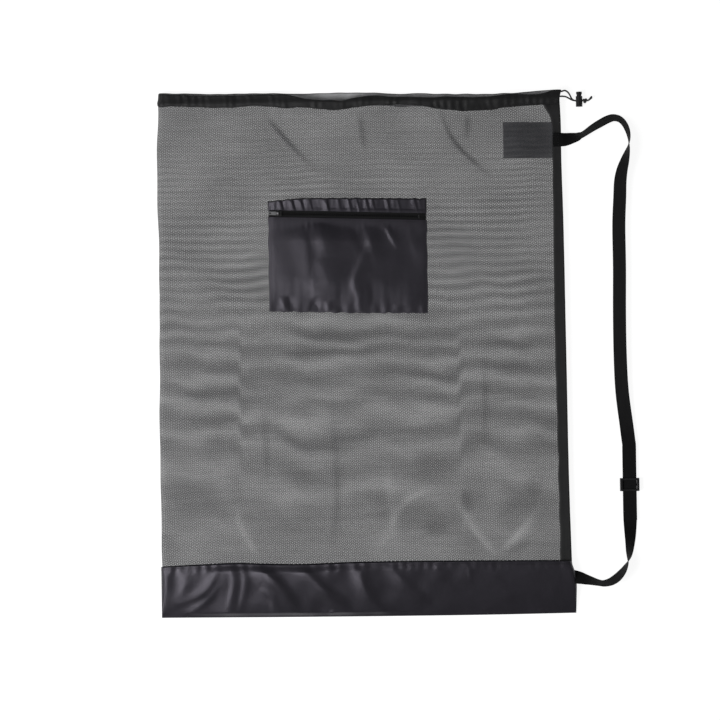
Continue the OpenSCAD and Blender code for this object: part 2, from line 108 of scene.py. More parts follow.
LOFT = HEM_HIGH[2]
HALF = LOFT / 2
BAG_LEFT, SEAM_X = HEM_LOW[0], HEM_HIGH[0]
FOLD_X = BAG_LEFT + HALF
BASE_TOP, BASE_FOOT = BASE_HIGH[1], BASE_LOW[1]
UPPER_Y = node_middle("strap_end_upper")[1]
LOWER_Y = node_middle("strap_end_lower")[1]
SLIDER_MIDDLE = node_middle("strap_slider")
KNOT_MIDDLE = node_middle("cord_knot")
RUN_Z = node_middle("drawcord_run_front")[2]
RUN_RADIUS = RUN_Z - HALF
# How far the mesh lies inside the hem's outer faces and the seam's edge
MESH_INSET = 1.5
# Distances from the seam where the mesh starts and stops coming down to it, and half its gap there
FALL_START, FALL_END, SEAM_GAP = 70, 14, 0.5

# Outlines of the laid cloth, read off the photograph: place along the edge, then where the edge is
LEFT_EDGE = [(-382, -351.4), (-300, -350.6), (-236, -351), (-62, -350.5), (83, -348.5),
             (228, -349), (300, -349), (358, -346.5), (384, -346)]
BINDING_OUTER = [(-312, 246), (-230, 244.2), (15, 242.3), (205, 240.9), (277, 239.6),
                 (336, 239.4), (354, 238.8), (368, 238.6), (378, 241), (384, 241.6)]
BINDING_INNER = [(-312, 230.5), (-172, 229.2), (60, 227), (277, 227.5), (330, 226.5),
                 (343, 223.5), (354, 217.5), (366, 213)]
BASE_RIGHT = [(-383, 252.6), (-360, 253.2), (-332, 253), (-319, 250.6), (-306, 246.6), (-300, 246)]
BASE_EDGE = [(-350, -305), (-293, -302.8), (-236, -301.4), (-206, -302.8), (-157, -304.3),
             (-65, -302.6), (98, -303.2), (244, -305)]
BASE_FOLD = [(-351, -379.6), (-150, -381.4), (-5, -382.2), (140, -382.4), (252, -381.6)]
FRONT_HEM_TOP = [(-347, 382), (-311, 380.5), (-268, 378.6), (-224, 378.6), (-181, 379), (-159, 378.4),
                 (-137, 374), (-115, 370.2), (-94, 369.6), (-74, 369.2), (-52, 373.4), (-28, 374.8),
                 (-7, 373.2), (15, 372.8), (37, 371.6), (80, 372), (124, 371), (146, 372), (167, 374.2),
                 (189, 374), (206, 373), (218, 374.8), (229, 378.4), (243, 379.4)]
FRONT_HEM_LOW = [(-347, 362.6), (-311, 363), (-268, 360.8), (-224, 361.2), (-202, 362.6), (-181, 360.6),
                 (-159, 358.6), (-137, 359.4), (-115, 357.2), (-94, 354.8), (-72, 355.6), (-50, 358.8),
                 (-7, 361.2), (15, 361), (37, 359.4), (59, 355.4), (80, 352), (102, 350), (124, 350.8),
                 (146, 351.8), (167, 355), (189, 356.2), (211, 357.4), (243, 359)]
BACK_HEM_TOP = [(-347, 385), (-311, 383.6), (-268, 382.4), (-181, 382.2), (-137, 381), (-94, 381.2),
                (-28, 380.4), (-7, 379.2), (15, 377.8), (37, 378.8), (59, 377.4), (102, 376.8),
                (146, 376.2), (167, 377), (189, 378), (211, 379.8), (222, 380.8), (243, 381)]
BACK_HEM_DEPTH = 18.5
POCKET_TOP = [(-187, 223.4), (-165, 225.6), (-140, 227.4), (-97, 227.2), (-20, 225.8), (44, 224.4)]
POCKET_FOOT = [(-187, 63.6), (-120, 61.8), (-60, 59.6), (0, 58.6), (44, 57.8)]

# Sharp creases of the mesh, then its long soft folds: points on each, its width and its height
MESH_CREASES = [
    ([(-192, 352), (-170, 326), (-148, 302), (-112, 264)], 3.2, 4.2),
    ([(66, 364), (76, 326), (92, 298), (120, 272), (146, 250)], 2.8, 4.0),
    ([(107, 349), (103, 306)], 4.0, 2.2),
    ([(-51, 352), (-48, 322), (-43, 292)], 4.0, 2.4),
]
MESH_FOLDS = [
    *MESH_CREASES,
    ([(-90, -20), (-84, -120), (-104, -290)], 9.0, 2.4),
    ([(12, -60), (22, -180), (10, -296)], 10.0, 2.2),
    ([(-250, -140), (-236, -290)], 9.0, 2.0),
    ([(150, -120), (132, -294)], 9.0, 1.8),
]
# Painted light and shade on the mesh, as places where its holes are more open or more shut: points on a line,
# width, share shut
MESH_PAINTED_LIGHT_AND_SHADE = [
    ([(75, -206), (100, -250), (126, -284), (134, -296)], 6.0, -0.27),
    ([(-28, -276), (-10, -240), (10, -214), (44, -199), (80, -204)], 5.0, -0.20),
    ([(-40, -292), (-16, -256), (0, -236)], 9.0, -0.11),
    ([(120, -200), (150, -232)], 16.0, -0.14),
    ([(-270, -160), (-248, -214)], 15.0, -0.14),
    ([(-240, -222), (-224, -262), (-206, -296)], 5.0, -0.23),
    ([(206, -214), (176, -254), (150, -282), (130, -300)], 6.5, -0.29),
    ([(92, -196), (98, -236)], 8.0, 0.20),
    ([(176, -186), (204, -210)], 12.0, 0.16),
    ([(28, -250), (70, -258)], 12.0, 0.14),
    ([(132, -298), (166, -284), (186, -276)], 7.0, 0.18),
    ([(-196, -70), (-190, -190)], 4.5, 0.16),
    ([(-98, -40), (-92, -200), (-104, -290)], 5.0, 0.16),
    ([(126, 10), (122, -150)], 5.0, 0.14),
    ([(-20, -150), (-8, -290)], 7.0, -0.14),
    ([(-330, 20), (-180, 14), (20, 22), (200, 12)], 14.0, 0.11),
    ([(-320, -60), (-60, -44), (210, -58)], 12.0, 0.09),
]
# Ripples of the laid mesh: height on the sack, how far apart they lie and how strongly they show
RIPPLES = [(-330, 180, 0.0), (-286, 120, 0.25), (-214, 78, 0.6), (-142, 50, 0.9), (-93, 42, 1.0),
           (-20, 36, 1.0), (28, 27, 1.0), (81, 17, 0.85), (148, 12.5, 0.8), (245, 8.8, 0.7),
           (318, 7.6, 0.25), (390, 7.6, 0.0)]
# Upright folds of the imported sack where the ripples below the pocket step: X, then the step in turns
RIPPLE_BREAKS = [(-229, 0.45), (89, -0.4)]
# Folds of the shiny base cloth: points, width, height
BASE_FOLDS = [
    ([(-324, -306), (-316, -330), (-326, -352)], 7.5, 2.0),
    ([(-338, -362), (-290, -343), (-266, -306)], 7.5, 2.5),
    ([(-318, -380), (-284, -354), (-266, -330)], 6.0, 1.6),
    ([(-250, -302), (-245, -330), (-257, -382)], 6.0, 2.1),
    ([(-231, -304), (-229, -334), (-239, -378)], 5.5, 1.7),
    ([(-146, -384), (-180, -334), (-214, -304)], 11.0, 8.0),
    ([(-208, -338), (-190, -352), (-186, -380)], 7.0, 2.4),
    ([(-66, -386), (-114, -342), (-154, -302)], 10.5, 7.6),
    ([(-108, -374), (-96, -384)], 4.0, 2.0),
    ([(-22, -386), (-53, -344), (-64, -306)], 9.0, 5.0),
    ([(56, -384), (12, -342), (-22, -306)], 9.0, 3.4),
    ([(96, -300), (97, -314), (99, -334)], 4.0, 1.6),
    ([(44, -302), (54, -316)], 4.0, 1.2),
    ([(200, -312), (220, -340), (216, -372)], 12.0, 1.4),
    ([(-342, -304), (-342, -330), (-346, -372)], 6.0, 1.6),
]
# Folds of the pocket panel: points, width, height (a valley has a height below zero)
PANEL_FOLDS = [
    ([(-132, 192), (-122, 150), (-124, 96)], 8.8, -1.5),
    ([(-116, 200), (-108, 176), (-100, 140)], 14.3, 1.5),
    ([(-118, 146), (-100, 112), (-98, 72)], 14.3, 1.5),
    ([(-68, 196), (-56, 170), (-44, 140)], 9.9, -1.4),
    ([(-30, 190), (-46, 146), (-62, 110), (-58, 84), (-52, 54)], 7.7, 2.2),
    ([(-46, 190), (-36, 158), (-28, 124)], 9.9, 1.7),
    ([(-48, 116), (-36, 92), (-40, 58)], 11.0, -1.5),
    ([(-22, 196), (-10, 172), (2, 150)], 5.0, 1.7),
    ([(-26, 58), (8, 72), (44, 88)], 9.9, 1.3),
    ([(-4, 180), (10, 130), (0, 86)], 15.4, -1.1),
    ([(-170, 86), (-164, 70), (-162, 56)], 5.5, 1.3),
    ([(-158, 88), (-154, 56)], 5.5, -1.5),
    ([(-122, 84), (-118, 56)], 6.6, -1.3),
    ([(-104, 80), (-100, 56)], 5.5, 1.3),
    ([(20, 196), (24, 160), (34, 130)], 8.8, 0.6),
]
# Gathers of the strip above the zip: where each rises from and to, and its height
STRIP_GATHERS = [(-183, -166, 2.4), (-163, -149, 2.3), (-146, -136, 2.0), (-132, -123, 1.2),
                 (-113, -99, 2.6), (-91, -81, 0.9), (-74, -66.5, 1.6), (-61.5, -54, 1.7), (-48, -41, 1.5),
                 (-36.5, -31.5, 1.2), (-15, -10, 1.3), (-4, 5.5, 1.0), (24, 30, 1.4)]

# The drawcord's free ends: out from the seam, then shares of the way to the lock across and
# down, and a shift across
FRONT_END_WAY = [(0, 0, 0, 0), (5, 0.13, 0.13, 0), (10, 0.5, 0.5, 0), (15, 0.88, 0.88, 0)]
BACK_END_WAY = [(0, 0, 0, 0), (5, 0, 0, 1), (10, 0.25, 0.2, 1), (15, 0.82, 0.8, 0)]

# Bends of the strap beside its sewn ends: out from the hinge, along, tilt in degrees
UPPER_BEND = [(0, 1.6, 28), (5, 2.6, 38), (9.5, 3.7, 46), (14, 5.3, 56), (19, 7.2, 64), (26, 11.5, 63),
              (34, 16.8, 59), (44, 22.6, 55), (55, 28.4, 54), (64, 31, 55), (73, 28.8, 56), (79.5, 22.5, 58),
              (84, 13, 62), (86, 2, 72), (85.6, -8, 86), (83.5, -18, 104), (79.5, -32, 124), (75.5, -46, 138),
              (73, -62, 148), (72, -84, 153)]
LOWER_BEND = [(0, -1.2, 22), (5, -2.2, 32), (11, -3.8, 43), (17, -5.6, 52), (25, -7.8, 62), (33, -9.8, 69),
              (40, -10.8, 70), (49, -8.8, 65), (56, -5, 62), (62, 0, 64), (68, 7, 72), (72, 13.5, 82),
              (74.8, 19.5, 94), (76.4, 26, 112), (77.6, 34, 126), (78.6, 44, 136), (79.4, 56, 148),
              (79.8, 68, 160)]
# The long run of the strap: share of the way down, out from the hinge, tilt
LONG_RUN = [(0.12, 70, 155), (0.3, 70, 155), (0.48, 69, 155), (0.66, 69, 156), (0.82, 71, 160)]


def measure(name, description, metres):
    """A length property."""
    return bpy.props.FloatProperty(
        name=name, description=description, default=metres, unit="LENGTH", precision=5)


class SackSizes(bpy.types.PropertyGroup):
    """Sizes of the sack's cloth and trim"""

    hole_pitch: measure("Hole pitch", "Distance between the mesh's holes", 0.00155)
    hole_share: bpy.props.FloatProperty(
        name="Open share", description="Share of the mesh that is open",
        default=0.39, min=0.05, max=0.85)
    yarn_fuzz: bpy.props.FloatProperty(
        name="Yarn fuzz", description="How soft a hole's edge is, as a share of the pitch",
        default=0.2, min=0.01, max=0.3)
    cut_angle: bpy.props.FloatProperty(
        name="Cut angle", description="Angle at which the mesh was cut from its roll",
        default=math.radians(13), subtype="ANGLE")
    ripple: measure("Ripple", "Height of the ripples in the laid mesh", 0.0011)
    cloth: measure("Cloth", "Thickness of the woven cloth and tape", 0.0005)
    web_width: measure("Strap width", "Width of the shoulder strap's webbing", 0.02)
    web_thickness: measure("Strap thickness", "Thickness of the shoulder strap's webbing", 0.0013)
    cord: measure("Cord", "Diameter of the drawcord", 0.0024)
    stitch: measure("Stitch", "Length of one stitch", 0.0026)
    stitch_step: measure("Stitch step", "Distance from one stitch to the next", 0.0036)
    thread: measure("Thread", "Thickness of the sewing thread", 0.0005)
    tooth_pitch: measure("Tooth pitch", "Distance between the zip's teeth in one row", 0.0026)


def tint(name, description, colour):
    """A linear colour property."""
    return bpy.props.FloatVectorProperty(
        name=name, description=description, default=colour, size=3, min=0, max=1, subtype="COLOR")


class SackColours(bpy.types.PropertyGroup):
    """Colours of the sack's cloth, cords and fittings"""

    yarn: tint("Yarn", "Black yarn of the mesh", (0.010, 0.010, 0.0125))
    nylon: tint("Nylon", "Shiny woven cloth of the base and the pocket", (0.0085, 0.0078, 0.0105))
    patch: tint("Patch", "Paler woven cloth of the strap's patch", (0.32, 0.32, 0.336))
    tape: tint("Tape", "Woven tape of the hem and the side binding", (0.0075, 0.0075, 0.008))
    lining: tint("Lining", "Inner face of the hem", (0.4, 0.4, 0.41))
    webbing: tint("Webbing", "Shoulder strap", (0.0042, 0.0042, 0.0045))
    zip_cloth: tint("Zip cloth", "Woven tape of the zip", (0.006, 0.006, 0.0064))
    teeth: tint("Teeth", "Plastic teeth of the zip", (0.006, 0.006, 0.0063))
    metal: tint("Metal", "Dull metal of the zip's pull", (0.2, 0.2, 0.206))
    enamel: tint("Enamel", "Black enamel of the zip's runner and stops", (0.010, 0.010, 0.011))
    cord: tint("Cord", "Braided drawcord", (0.016, 0.016, 0.017))
    plastic: tint("Plastic", "Cord lock and strap slider", (0.006, 0.006, 0.0066))
    steel: tint("Steel", "Spring of the cord lock", (0.52, 0.52, 0.53))
    thread: tint("Thread", "Sewing thread", (0.012, 0.012, 0.013))


# Curves, noise and folds

# Width of a fold's gentle and steep side as a share of its width, and how quickly its ends fade
GENTLE_SIDE, STEEP_SIDE, END_FADE = 1.25, 0.75, 1.4


def along_line(points, at):
    """Values of a smooth line through given points, at the given places."""
    places, values = np.array(points, float).T
    at = np.clip(np.asarray(at, float), places[0], places[-1])
    slope = np.gradient(values, places)
    i = np.clip(np.searchsorted(places, at) - 1, 0, len(places) - 2)
    step = places[i + 1] - places[i]
    t = (at - places[i]) / step
    return ((2 * t**3 - 3 * t**2 + 1) * values[i] + (t**3 - 2 * t**2 + t) * step * slope[i]
            + (3 * t**2 - 2 * t**3) * values[i + 1] + (t**3 - t**2) * step * slope[i + 1])


def smooth_step(low, high, at):
    """From 0 at low to 1 at high, level at both ends."""
    t = np.clip((np.asarray(at, float) - low) / (high - low), 0, 1)
    return t * t * (3 - 2 * t)


def waves(x, y, seed, length, turns=(0.0, math.pi), count=9):
    """A soft random surface about 1 high, made of waves of about one length."""
    rng = np.random.default_rng(seed)
    total = np.zeros(np.broadcast(x, y).shape)
    for _ in range(count):
        turn = rng.uniform(*turns)
        size = length * rng.uniform(0.65, 1.5)
        phase = rng.uniform(0, 2 * math.pi)
        bow = 0.35 * length * np.sin((x * math.sin(turn) - y * math.cos(turn)) / (3.1 * size) + 2 * phase)
        total += np.sin(2 * math.pi * (x * math.cos(turn) + y * math.sin(turn) + bow) / size + phase)
    return total / math.sqrt(count)


def fold_height(x, y, folds):
    """Height of listed folds, each steeper on the right of its points' way and fading at its ends."""
    total = np.zeros(np.broadcast(x, y).shape)
    for points, width, height in folds:
        line = smooth_route(points, 6)
        best = np.full(total.shape, 1e9)
        side = np.zeros(total.shape)
        share = np.zeros(total.shape)
        for k in range(len(line) - 1):
            a, d = line[k], line[k + 1] - line[k]
            t = np.clip(((x - a[0]) * d[0] + (y - a[1]) * d[1]) / (d @ d), 0, 1)
            away = np.hypot(x - a[0] - t * d[0], y - a[1] - t * d[1])
            cross = d[0] * (y - a[1]) - d[1] * (x - a[0])
            near = away < best
            best = np.where(near, away, best)
            side = np.where(near, np.sign(cross), side)
            share = np.where(near, (k + t) / (len(line) - 1), share)
        lean = np.where(side > 0, GENTLE_SIDE, STEEP_SIDE) * width
        fade = np.sin(math.pi * np.clip(share, 0, 1)) ** END_FADE
        total += height * np.exp(-(best / lean) ** 2) * fade
    return total


def smooth_route(points, steps):
    """A smooth line through given points, with so many steps between two of them."""
    p = np.array(points, float)
    route = []
    for i in range(len(p) - 1):
        a, b, c, d = p[max(i - 1, 0)], p[i], p[i + 1], p[min(i + 2, len(p) - 1)]
        for t in np.arange(steps) / steps:
            route.append(0.5 * (2 * b + (c - a) * t + (2 * a - 5 * b + 4 * c - d) * t**2
                                + (3 * b - a - 3 * c + d) * t**3))
    return np.array(route + [p[-1]])


def run_along(points):
    """Distance of each point of a line from its first point."""
    return np.concatenate([[0], np.cumsum(np.linalg.norm(np.diff(points, axis=0), axis=1))])


def fold_turn(count):
    """Angles round the sack's left fold, from the front to the back."""
    return np.linspace(math.pi / 2, 3 * math.pi / 2, count)


def unit(vectors):
    """The same vectors, each 1 long."""
    return vectors / np.linalg.norm(vectors, axis=-1, keepdims=True)


def even_path(points, count):
    """So many points at even steps along a line of points, and how far along each one is."""
    p = np.array(points, float)
    run = run_along(p)
    at = np.linspace(0, run[-1], count)
    return np.stack([np.interp(at, run, p[:, k]) for k in range(p.shape[1])], axis=1), at


# Meshes

# A tube's domed end, in shares of its radius: its last ring, how far out that is, and its tip
DOME_RING, DOME_OUT, DOME_TIP = 0.7, 0.45, 0.6
# Edges of a solid that are sharper than this are eased
SHARP_ANGLE = math.radians(35)


def place(name, data):
    """A new object in the scene, at its origin."""
    obj = bpy.data.objects.new(name, data)
    bpy.context.scene.collection.objects.link(obj)
    return obj


def new_object(name, verts, faces, material):
    """A mesh object at the origin, from points in millimetres."""
    mesh = bpy.data.meshes.new(name)
    mesh.from_pydata((np.asarray(verts) * MM).tolist(), [], faces)
    mesh.polygons.foreach_set("use_smooth", [True] * len(mesh.polygons))
    mesh.materials.append(material)
    return place(name, mesh)


def set_uv(mesh, uv):
    """Gives each corner the UV of its point, in metres of cloth."""
    layer = mesh.uv_layers.new(name="cloth")
    corner = np.zeros(len(mesh.loops), np.int32)
    mesh.loops.foreach_get("vertex_index", corner)
    layer.data.foreach_set("uv", np.asarray(uv, np.float32)[corner].ravel())


def set_mark(mesh, name, values):
    """A value on each point, which a material reads."""
    mark = mesh.attributes.new(name, "FLOAT", "POINT")
    mark.data.foreach_set("value", np.asarray(values, np.float32).ravel())


def grid_of(*parts):
    """A grid of points or of UVs from its parts, spread over the same rows and columns."""
    return np.stack(np.broadcast_arrays(*parts), axis=2)


def closed(grid):
    """A grid with its first column again after its last."""
    return np.concatenate([grid, grid[:, :1]], axis=1)


def girth_of(grid):
    """Distance round each row of a ring of points, from its first column."""
    steps = np.linalg.norm(np.diff(closed(grid), axis=1), axis=2)
    return np.concatenate([np.zeros((len(grid), 1)), np.cumsum(steps, axis=1)[:, :-1]], axis=1)


def quads(index):
    """Four-sided faces between the points of a grid, by their numbers."""
    return np.stack([index[:-1, :-1], index[:-1, 1:], index[1:, 1:], index[1:, :-1]], axis=2).reshape(-1, 4)


def grid_normals(grid, ring=False):
    """Unit normals of a grid of points: along its columns, crossed with along its rows."""
    if ring:
        wide = np.concatenate([grid[:, -1:], grid, grid[:, :1]], axis=1)
        across = wide[:, 2:] - wide[:, :-2]
    else:
        across = np.gradient(grid, axis=1)
    normal = np.cross(across, np.gradient(grid, axis=0))
    return normal / np.maximum(np.linalg.norm(normal, axis=2, keepdims=True), 1e-9)


def cloth_piece(name, grid, uv, material, thick=0.0, ring=False, marks=None):
    """A piece of cloth from a grid of points: one layer, or a closed shell of some thickness."""
    rows, cols = grid.shape[:2]
    layers = [grid]
    if thick:
        layers.append(grid - grid_normals(grid, ring) * thick)
    index = np.arange(rows * cols).reshape(rows, cols)
    turn = closed(index) if ring else index
    outer = quads(turn)
    faces = [outer]
    if thick:
        under = rows * cols
        faces.append(outer[:, ::-1] + under)
        rims = [turn[0, ::-1], turn[-1]]
        if not ring:
            rims += [turn[:, 0], turn[::-1, -1]]
        for rim in rims:
            faces.append(np.stack([rim[:-1], rim[1:], rim[1:] + under, rim[:-1] + under], axis=1))
    verts = np.concatenate([layer.reshape(-1, 3) for layer in layers])
    obj = new_object(name, verts, np.concatenate(faces).tolist(), material)
    set_uv(obj.data, np.concatenate([uv.reshape(-1, 2)] * len(layers)))
    for key, values in (marks or {}).items():
        set_mark(obj.data, key, np.concatenate([values.ravel()] * len(layers)))
    return obj


def grid_uv(width, height, rows, cols):
    """UV of a plain grid: columns along U, rows along V, in metres."""
    return grid_of(*np.meshgrid(np.linspace(0, width, cols), np.linspace(0, height, rows))) * MM


def sew(grid, rows=(), cols=(), ring=False):
    """Lays lines of stitches along rows and columns of a cloth grid, just above it."""
    raised = grid + grid_normals(grid, ring) * STITCH_LIFT
    STITCH_LINES.extend([raised[row] for row in rows] + [raised[:, col] for col in cols])


def path_frames(path):
    """Two unit vectors across each point of a path, turning as little as can be."""
    ahead = unit(np.gradient(path, axis=0))
    side = np.cross(ahead[0], (0, 0, 1.0))
    if np.linalg.norm(side) < 1e-3:
        side = np.cross(ahead[0], (0, 1.0, 0))
    sides = []
    for a in ahead:
        side = unit(side - a * (side @ a))
        sides.append(side)
    sides = np.array(sides)
    return sides, np.cross(sides, ahead)


def tube(name, path, radius, material, sides=12):
    """A round tube along a path, closed at both ends with a soft dome."""
    path = np.asarray(path, float)
    across, up = path_frames(path)
    ahead = np.cross(up, across)
    turn = np.arange(sides) * 2 * math.pi / sides
    rows = [middle + radius * (np.outer(np.cos(turn), a) + np.outer(np.sin(turn), b))
            for middle, a, b in zip(path, across, up)]
    start = path[0] + (rows[0] - path[0]) * DOME_RING - ahead[0] * radius * DOME_OUT
    end = path[-1] + (rows[-1] - path[-1]) * DOME_RING + ahead[-1] * radius * DOME_OUT
    rows = np.array([start] + rows + [end])
    count = len(rows)
    verts = np.concatenate([rows.reshape(-1, 3), [path[0] - ahead[0] * radius * DOME_TIP],
                            [path[-1] + ahead[-1] * radius * DOME_TIP]])
    index = closed(np.arange(count * sides).reshape(count, sides))
    faces = quads(index).tolist()
    first, last = index[0].tolist(), index[-1].tolist()
    tip, tail = count * sides, count * sides + 1
    for k in range(sides):
        faces += [(first[k + 1], first[k], tip), (last[k], last[k + 1], tail)]
    obj = new_object(name, verts, faces, material)
    run = run_along(rows.mean(axis=1))
    uv = grid_of(*np.meshgrid(np.arange(sides) / sides, run * MM)).reshape(-1, 2)
    uv = np.concatenate([uv, [(0, 0)], [(0, run[-1] * MM)]])
    set_uv(obj.data, uv)
    recalculate(obj.data)
    return obj


def recalculate(mesh):
    """Turns all faces of a closed mesh outwards."""
    work = bmesh.new()
    work.from_mesh(mesh)
    bmesh.ops.recalc_face_normals(work, faces=work.faces)
    work.to_mesh(mesh)
    work.free()


def flat_shading(mesh):
    """Shades flat faces flat and eased edges round: each corner leans to its largest face."""
    leaning = np.zeros((len(mesh.vertices), 3))
    for face in mesh.polygons:
        leaning[list(face.vertices)] += np.array(face.normal) * face.area ** 2
    leaning /= np.maximum(np.linalg.norm(leaning, axis=1, keepdims=True), 1e-30)
    mesh.normals_split_custom_set_from_vertices(leaning.tolist())


def dress(node, name, bevel, finish, body, slot):
    """A copy of a solid with its edges eased, which takes the solid's place."""
    mesh = NODES[node].data.copy()
    mesh.name = name
    work = bmesh.new()
    work.from_mesh(mesh)
    bmesh.ops.remove_doubles(work, verts=work.verts, dist=1e-6)
    bmesh.ops.dissolve_limit(work, angle_limit=math.radians(1), verts=work.verts, edges=work.edges)
    sharp = [e for e in work.edges if len(e.link_faces) == 2 and e.calc_face_angle() > SHARP_ANGLE]
    bmesh.ops.bevel(work, geom=sharp, offset=bevel * MM, segments=2, profile=0.5,
                    affect="EDGES", clamp_overlap=True)
    work.to_mesh(mesh)
    work.free()
    mesh.materials.clear()
    mesh.materials.append(material_for(finish))
    mesh.polygons.foreach_set("use_smooth", [True] * len(mesh.polygons))
    flat_shading(mesh)
    return fit(place(name, mesh), body, slot, node)


def fit(obj, body, slot, *nodes):
    """Lets a finished piece ride on its body and stand for its solids."""
    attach(obj, body)
    if nodes:
        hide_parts(*nodes)
    return obj


# Shader nodes

class Graph:
    """Adds nodes to a node tree and links them."""

    def __init__(self, tree):
        self.tree = tree

    def add(self, kind, inputs=None, **settings):
        """A new node with some settings, and with values or links on its inputs."""
        node = self.tree.nodes.new(kind)
        for key, value in settings.items():
            setattr(node, key, value)
        for key, value in (inputs or {}).items():
            self.put(node.inputs[key], value)
        return node

    def put(self, socket, value):
        """Links a socket to another, or sets its value."""
        if isinstance(value, bpy.types.NodeSocket):
            self.tree.links.new(value, socket)
        else:
            socket.default_value = value

    def math(self, operation, a, b=0.0, c=0.0):
        """The result of one sum."""
        return self.add("ShaderNodeMath", {0: a, 1: b, 2: c}, operation=operation).outputs[0]

    def vector(self, operation, a, b=(0, 0, 0)):
        """The result of one vector sum."""
        return self.add("ShaderNodeVectorMath", {0: a, 1: b}, operation=operation).outputs["Vector"]

    def length(self, a):
        """The length of a vector."""
        return self.add("ShaderNodeVectorMath", {0: a}, operation="LENGTH").outputs["Value"]

    def noise(self, vector, scale, detail, **inputs):
        """The value of a noise texture."""
        return self.add("ShaderNodeTexNoise", {
            "Vector": vector, "Scale": scale, "Detail": detail, **inputs}).outputs["Fac"]

    def cloth_uv(self):
        """The cloth's own UV, in metres."""
        return self.add("ShaderNodeUVMap", uv_map="cloth").outputs[0]

    def mark(self, name):
        """A value that was set on the cloth's points."""
        return self.add("ShaderNodeAttribute", attribute_name=name).outputs["Fac"]


def new_group(name, inputs, outputs):
    """A shader node group that takes a vector and some values, its graph and its two end nodes."""
    group = bpy.data.node_groups.new(name, "ShaderNodeTree")
    group.interface.new_socket("Vector", in_out="INPUT", socket_type="NodeSocketVector")
    kinds = {"Colour": "NodeSocketColor"}
    for label, value in inputs.items():
        kind = kinds.get(label, "NodeSocketFloat")
        group.interface.new_socket(label, in_out="INPUT", socket_type=kind).default_value = value
    for label in outputs:
        group.interface.new_socket(label, in_out="OUTPUT", socket_type=kinds.get(label, "NodeSocketFloat"))
    graph = Graph(group)
    return group, graph, graph.add("NodeGroupInput").outputs, graph.add("NodeGroupOutput").inputs


def holes_group():
    """Staggered round holes of a knitted mesh: where yarn is, and how it rounds over."""
    group, g, given, out = new_group(
        "Staggered holes", {"Pitch": 0.003, "Radius": 0.35, "Gather": 0.0, "Fuzz": 0.2}, ["Yarn", "Height"])
    wide = g.math("DIVIDE", 1.0, given["Pitch"])
    tall = g.math("DIVIDE", wide, math.sqrt(3))
    scale = g.add("ShaderNodeCombineXYZ", {"X": wide, "Y": tall}).outputs[0]
    cell = g.vector("MULTIPLY", given["Vector"], scale)
    shape = (1.0, math.sqrt(3), 0.0)
    distances = []
    for shift in ((0.0, 0.0, 0.0), (0.5, 0.5, 0.0)):
        moved = g.vector("ADD", cell, shift)
        middle = g.vector("SUBTRACT", g.vector("FRACTION", moved), (0.5, 0.5, 0.0))
        distances.append(g.length(g.vector("MULTIPLY", middle, shape)))
    nearest = g.math("MINIMUM", *distances)
    radius = g.math("MULTIPLY", given["Radius"], g.math("SUBTRACT", 1.0, given["Gather"]))
    fuzz = g.add("ShaderNodeMapRange", {
        "Value": nearest, "From Min": g.math("SUBTRACT", radius, given["Fuzz"]),
        "From Max": g.math("ADD", radius, given["Fuzz"])})
    g.put(out["Yarn"], fuzz.outputs[0])
    g.put(out["Height"], g.math("MINIMUM", g.math("SUBTRACT", nearest, radius), 0.14))
    return group


def weave_group():
    """Over and under of a plain weave, as a height, and a thread-to-thread tone."""
    group, g, given, out = new_group(
        "Woven threads", {"Warp pitch": 0.0004, "Weft pitch": 0.0004}, ["Height", "Tone"])
    parts = g.add("ShaderNodeSeparateXYZ", {0: given["Vector"]}).outputs
    warp = g.math("SINE", g.math("DIVIDE", g.math("MULTIPLY", parts["X"], math.pi), given["Warp pitch"]))
    weft = g.math("SINE", g.math("DIVIDE", g.math("MULTIPLY", parts["Y"], math.pi), given["Weft pitch"]))
    g.put(out["Height"], g.math("MULTIPLY_ADD", g.math("MULTIPLY", warp, weft), 0.5, 0.5))
    g.put(out["Tone"], g.noise(g.vector("MULTIPLY", given["Vector"], (900.0, 35.0, 1.0)), 1.0, 2.0))
    return group


def wear_group():
    """Soft changes of tone over a surface: dust, rubbing and handling."""
    group, g, given, out = new_group(
        "Handled tone", {"Colour": (0.02, 0.02, 0.02, 1), "Spread": 0.3, "Scale": 40.0}, ["Colour", "Mask"])
    noise = g.noise(given["Vector"], given["Scale"], 4.0, Roughness=0.6)
    mask = g.add("ShaderNodeMapRange", {"Value": noise, "From Min": 0.3, "From Max": 0.7}).outputs[0]
    gain = g.math("MULTIPLY_ADD", g.math("SUBTRACT", mask, 0.5), given["Spread"], 1.0)
    hue = g.add("ShaderNodeHueSaturation", {"Color": given["Colour"], "Value": gain})
    g.put(out["Colour"], hue.outputs[0])
    g.put(out["Mask"], mask)
    return group


def braid_group():
    """Crossing strands of a braided cord, on a UV of turns around and metres along."""
    group, g, given, out = new_group("Braided strands", {"Strands": 6.0, "Lay": 420.0}, ["Height"])
    parts = g.add("ShaderNodeSeparateXYZ", {0: given["Vector"]}).outputs
    around = g.math("MULTIPLY", parts["X"], given["Strands"])
    along = g.math("MULTIPLY", parts["Y"], given["Lay"])
    ways = []
    for sign in (1.0, -1.0):
        turn = g.math("MULTIPLY_ADD", along, sign, around)
        ways.append(g.math("ABSOLUTE", g.math("SINE", g.math("MULTIPLY", turn, math.pi))))
    g.put(out["Height"], g.math("MAXIMUM", *ways))
    return group


def shared_group(name):
    """One of the shared node groups, built the first time it is asked for."""
    makers = {"Staggered holes": holes_group, "Woven threads": weave_group,
              "Handled tone": wear_group, "Braided strands": braid_group}
    return bpy.data.node_groups.get(name) or makers[name]()


def colour_of(key):
    """One of the sack's colours, with full alpha."""
    return (*getattr(bpy.context.scene.sack_colours, key), 1.0)


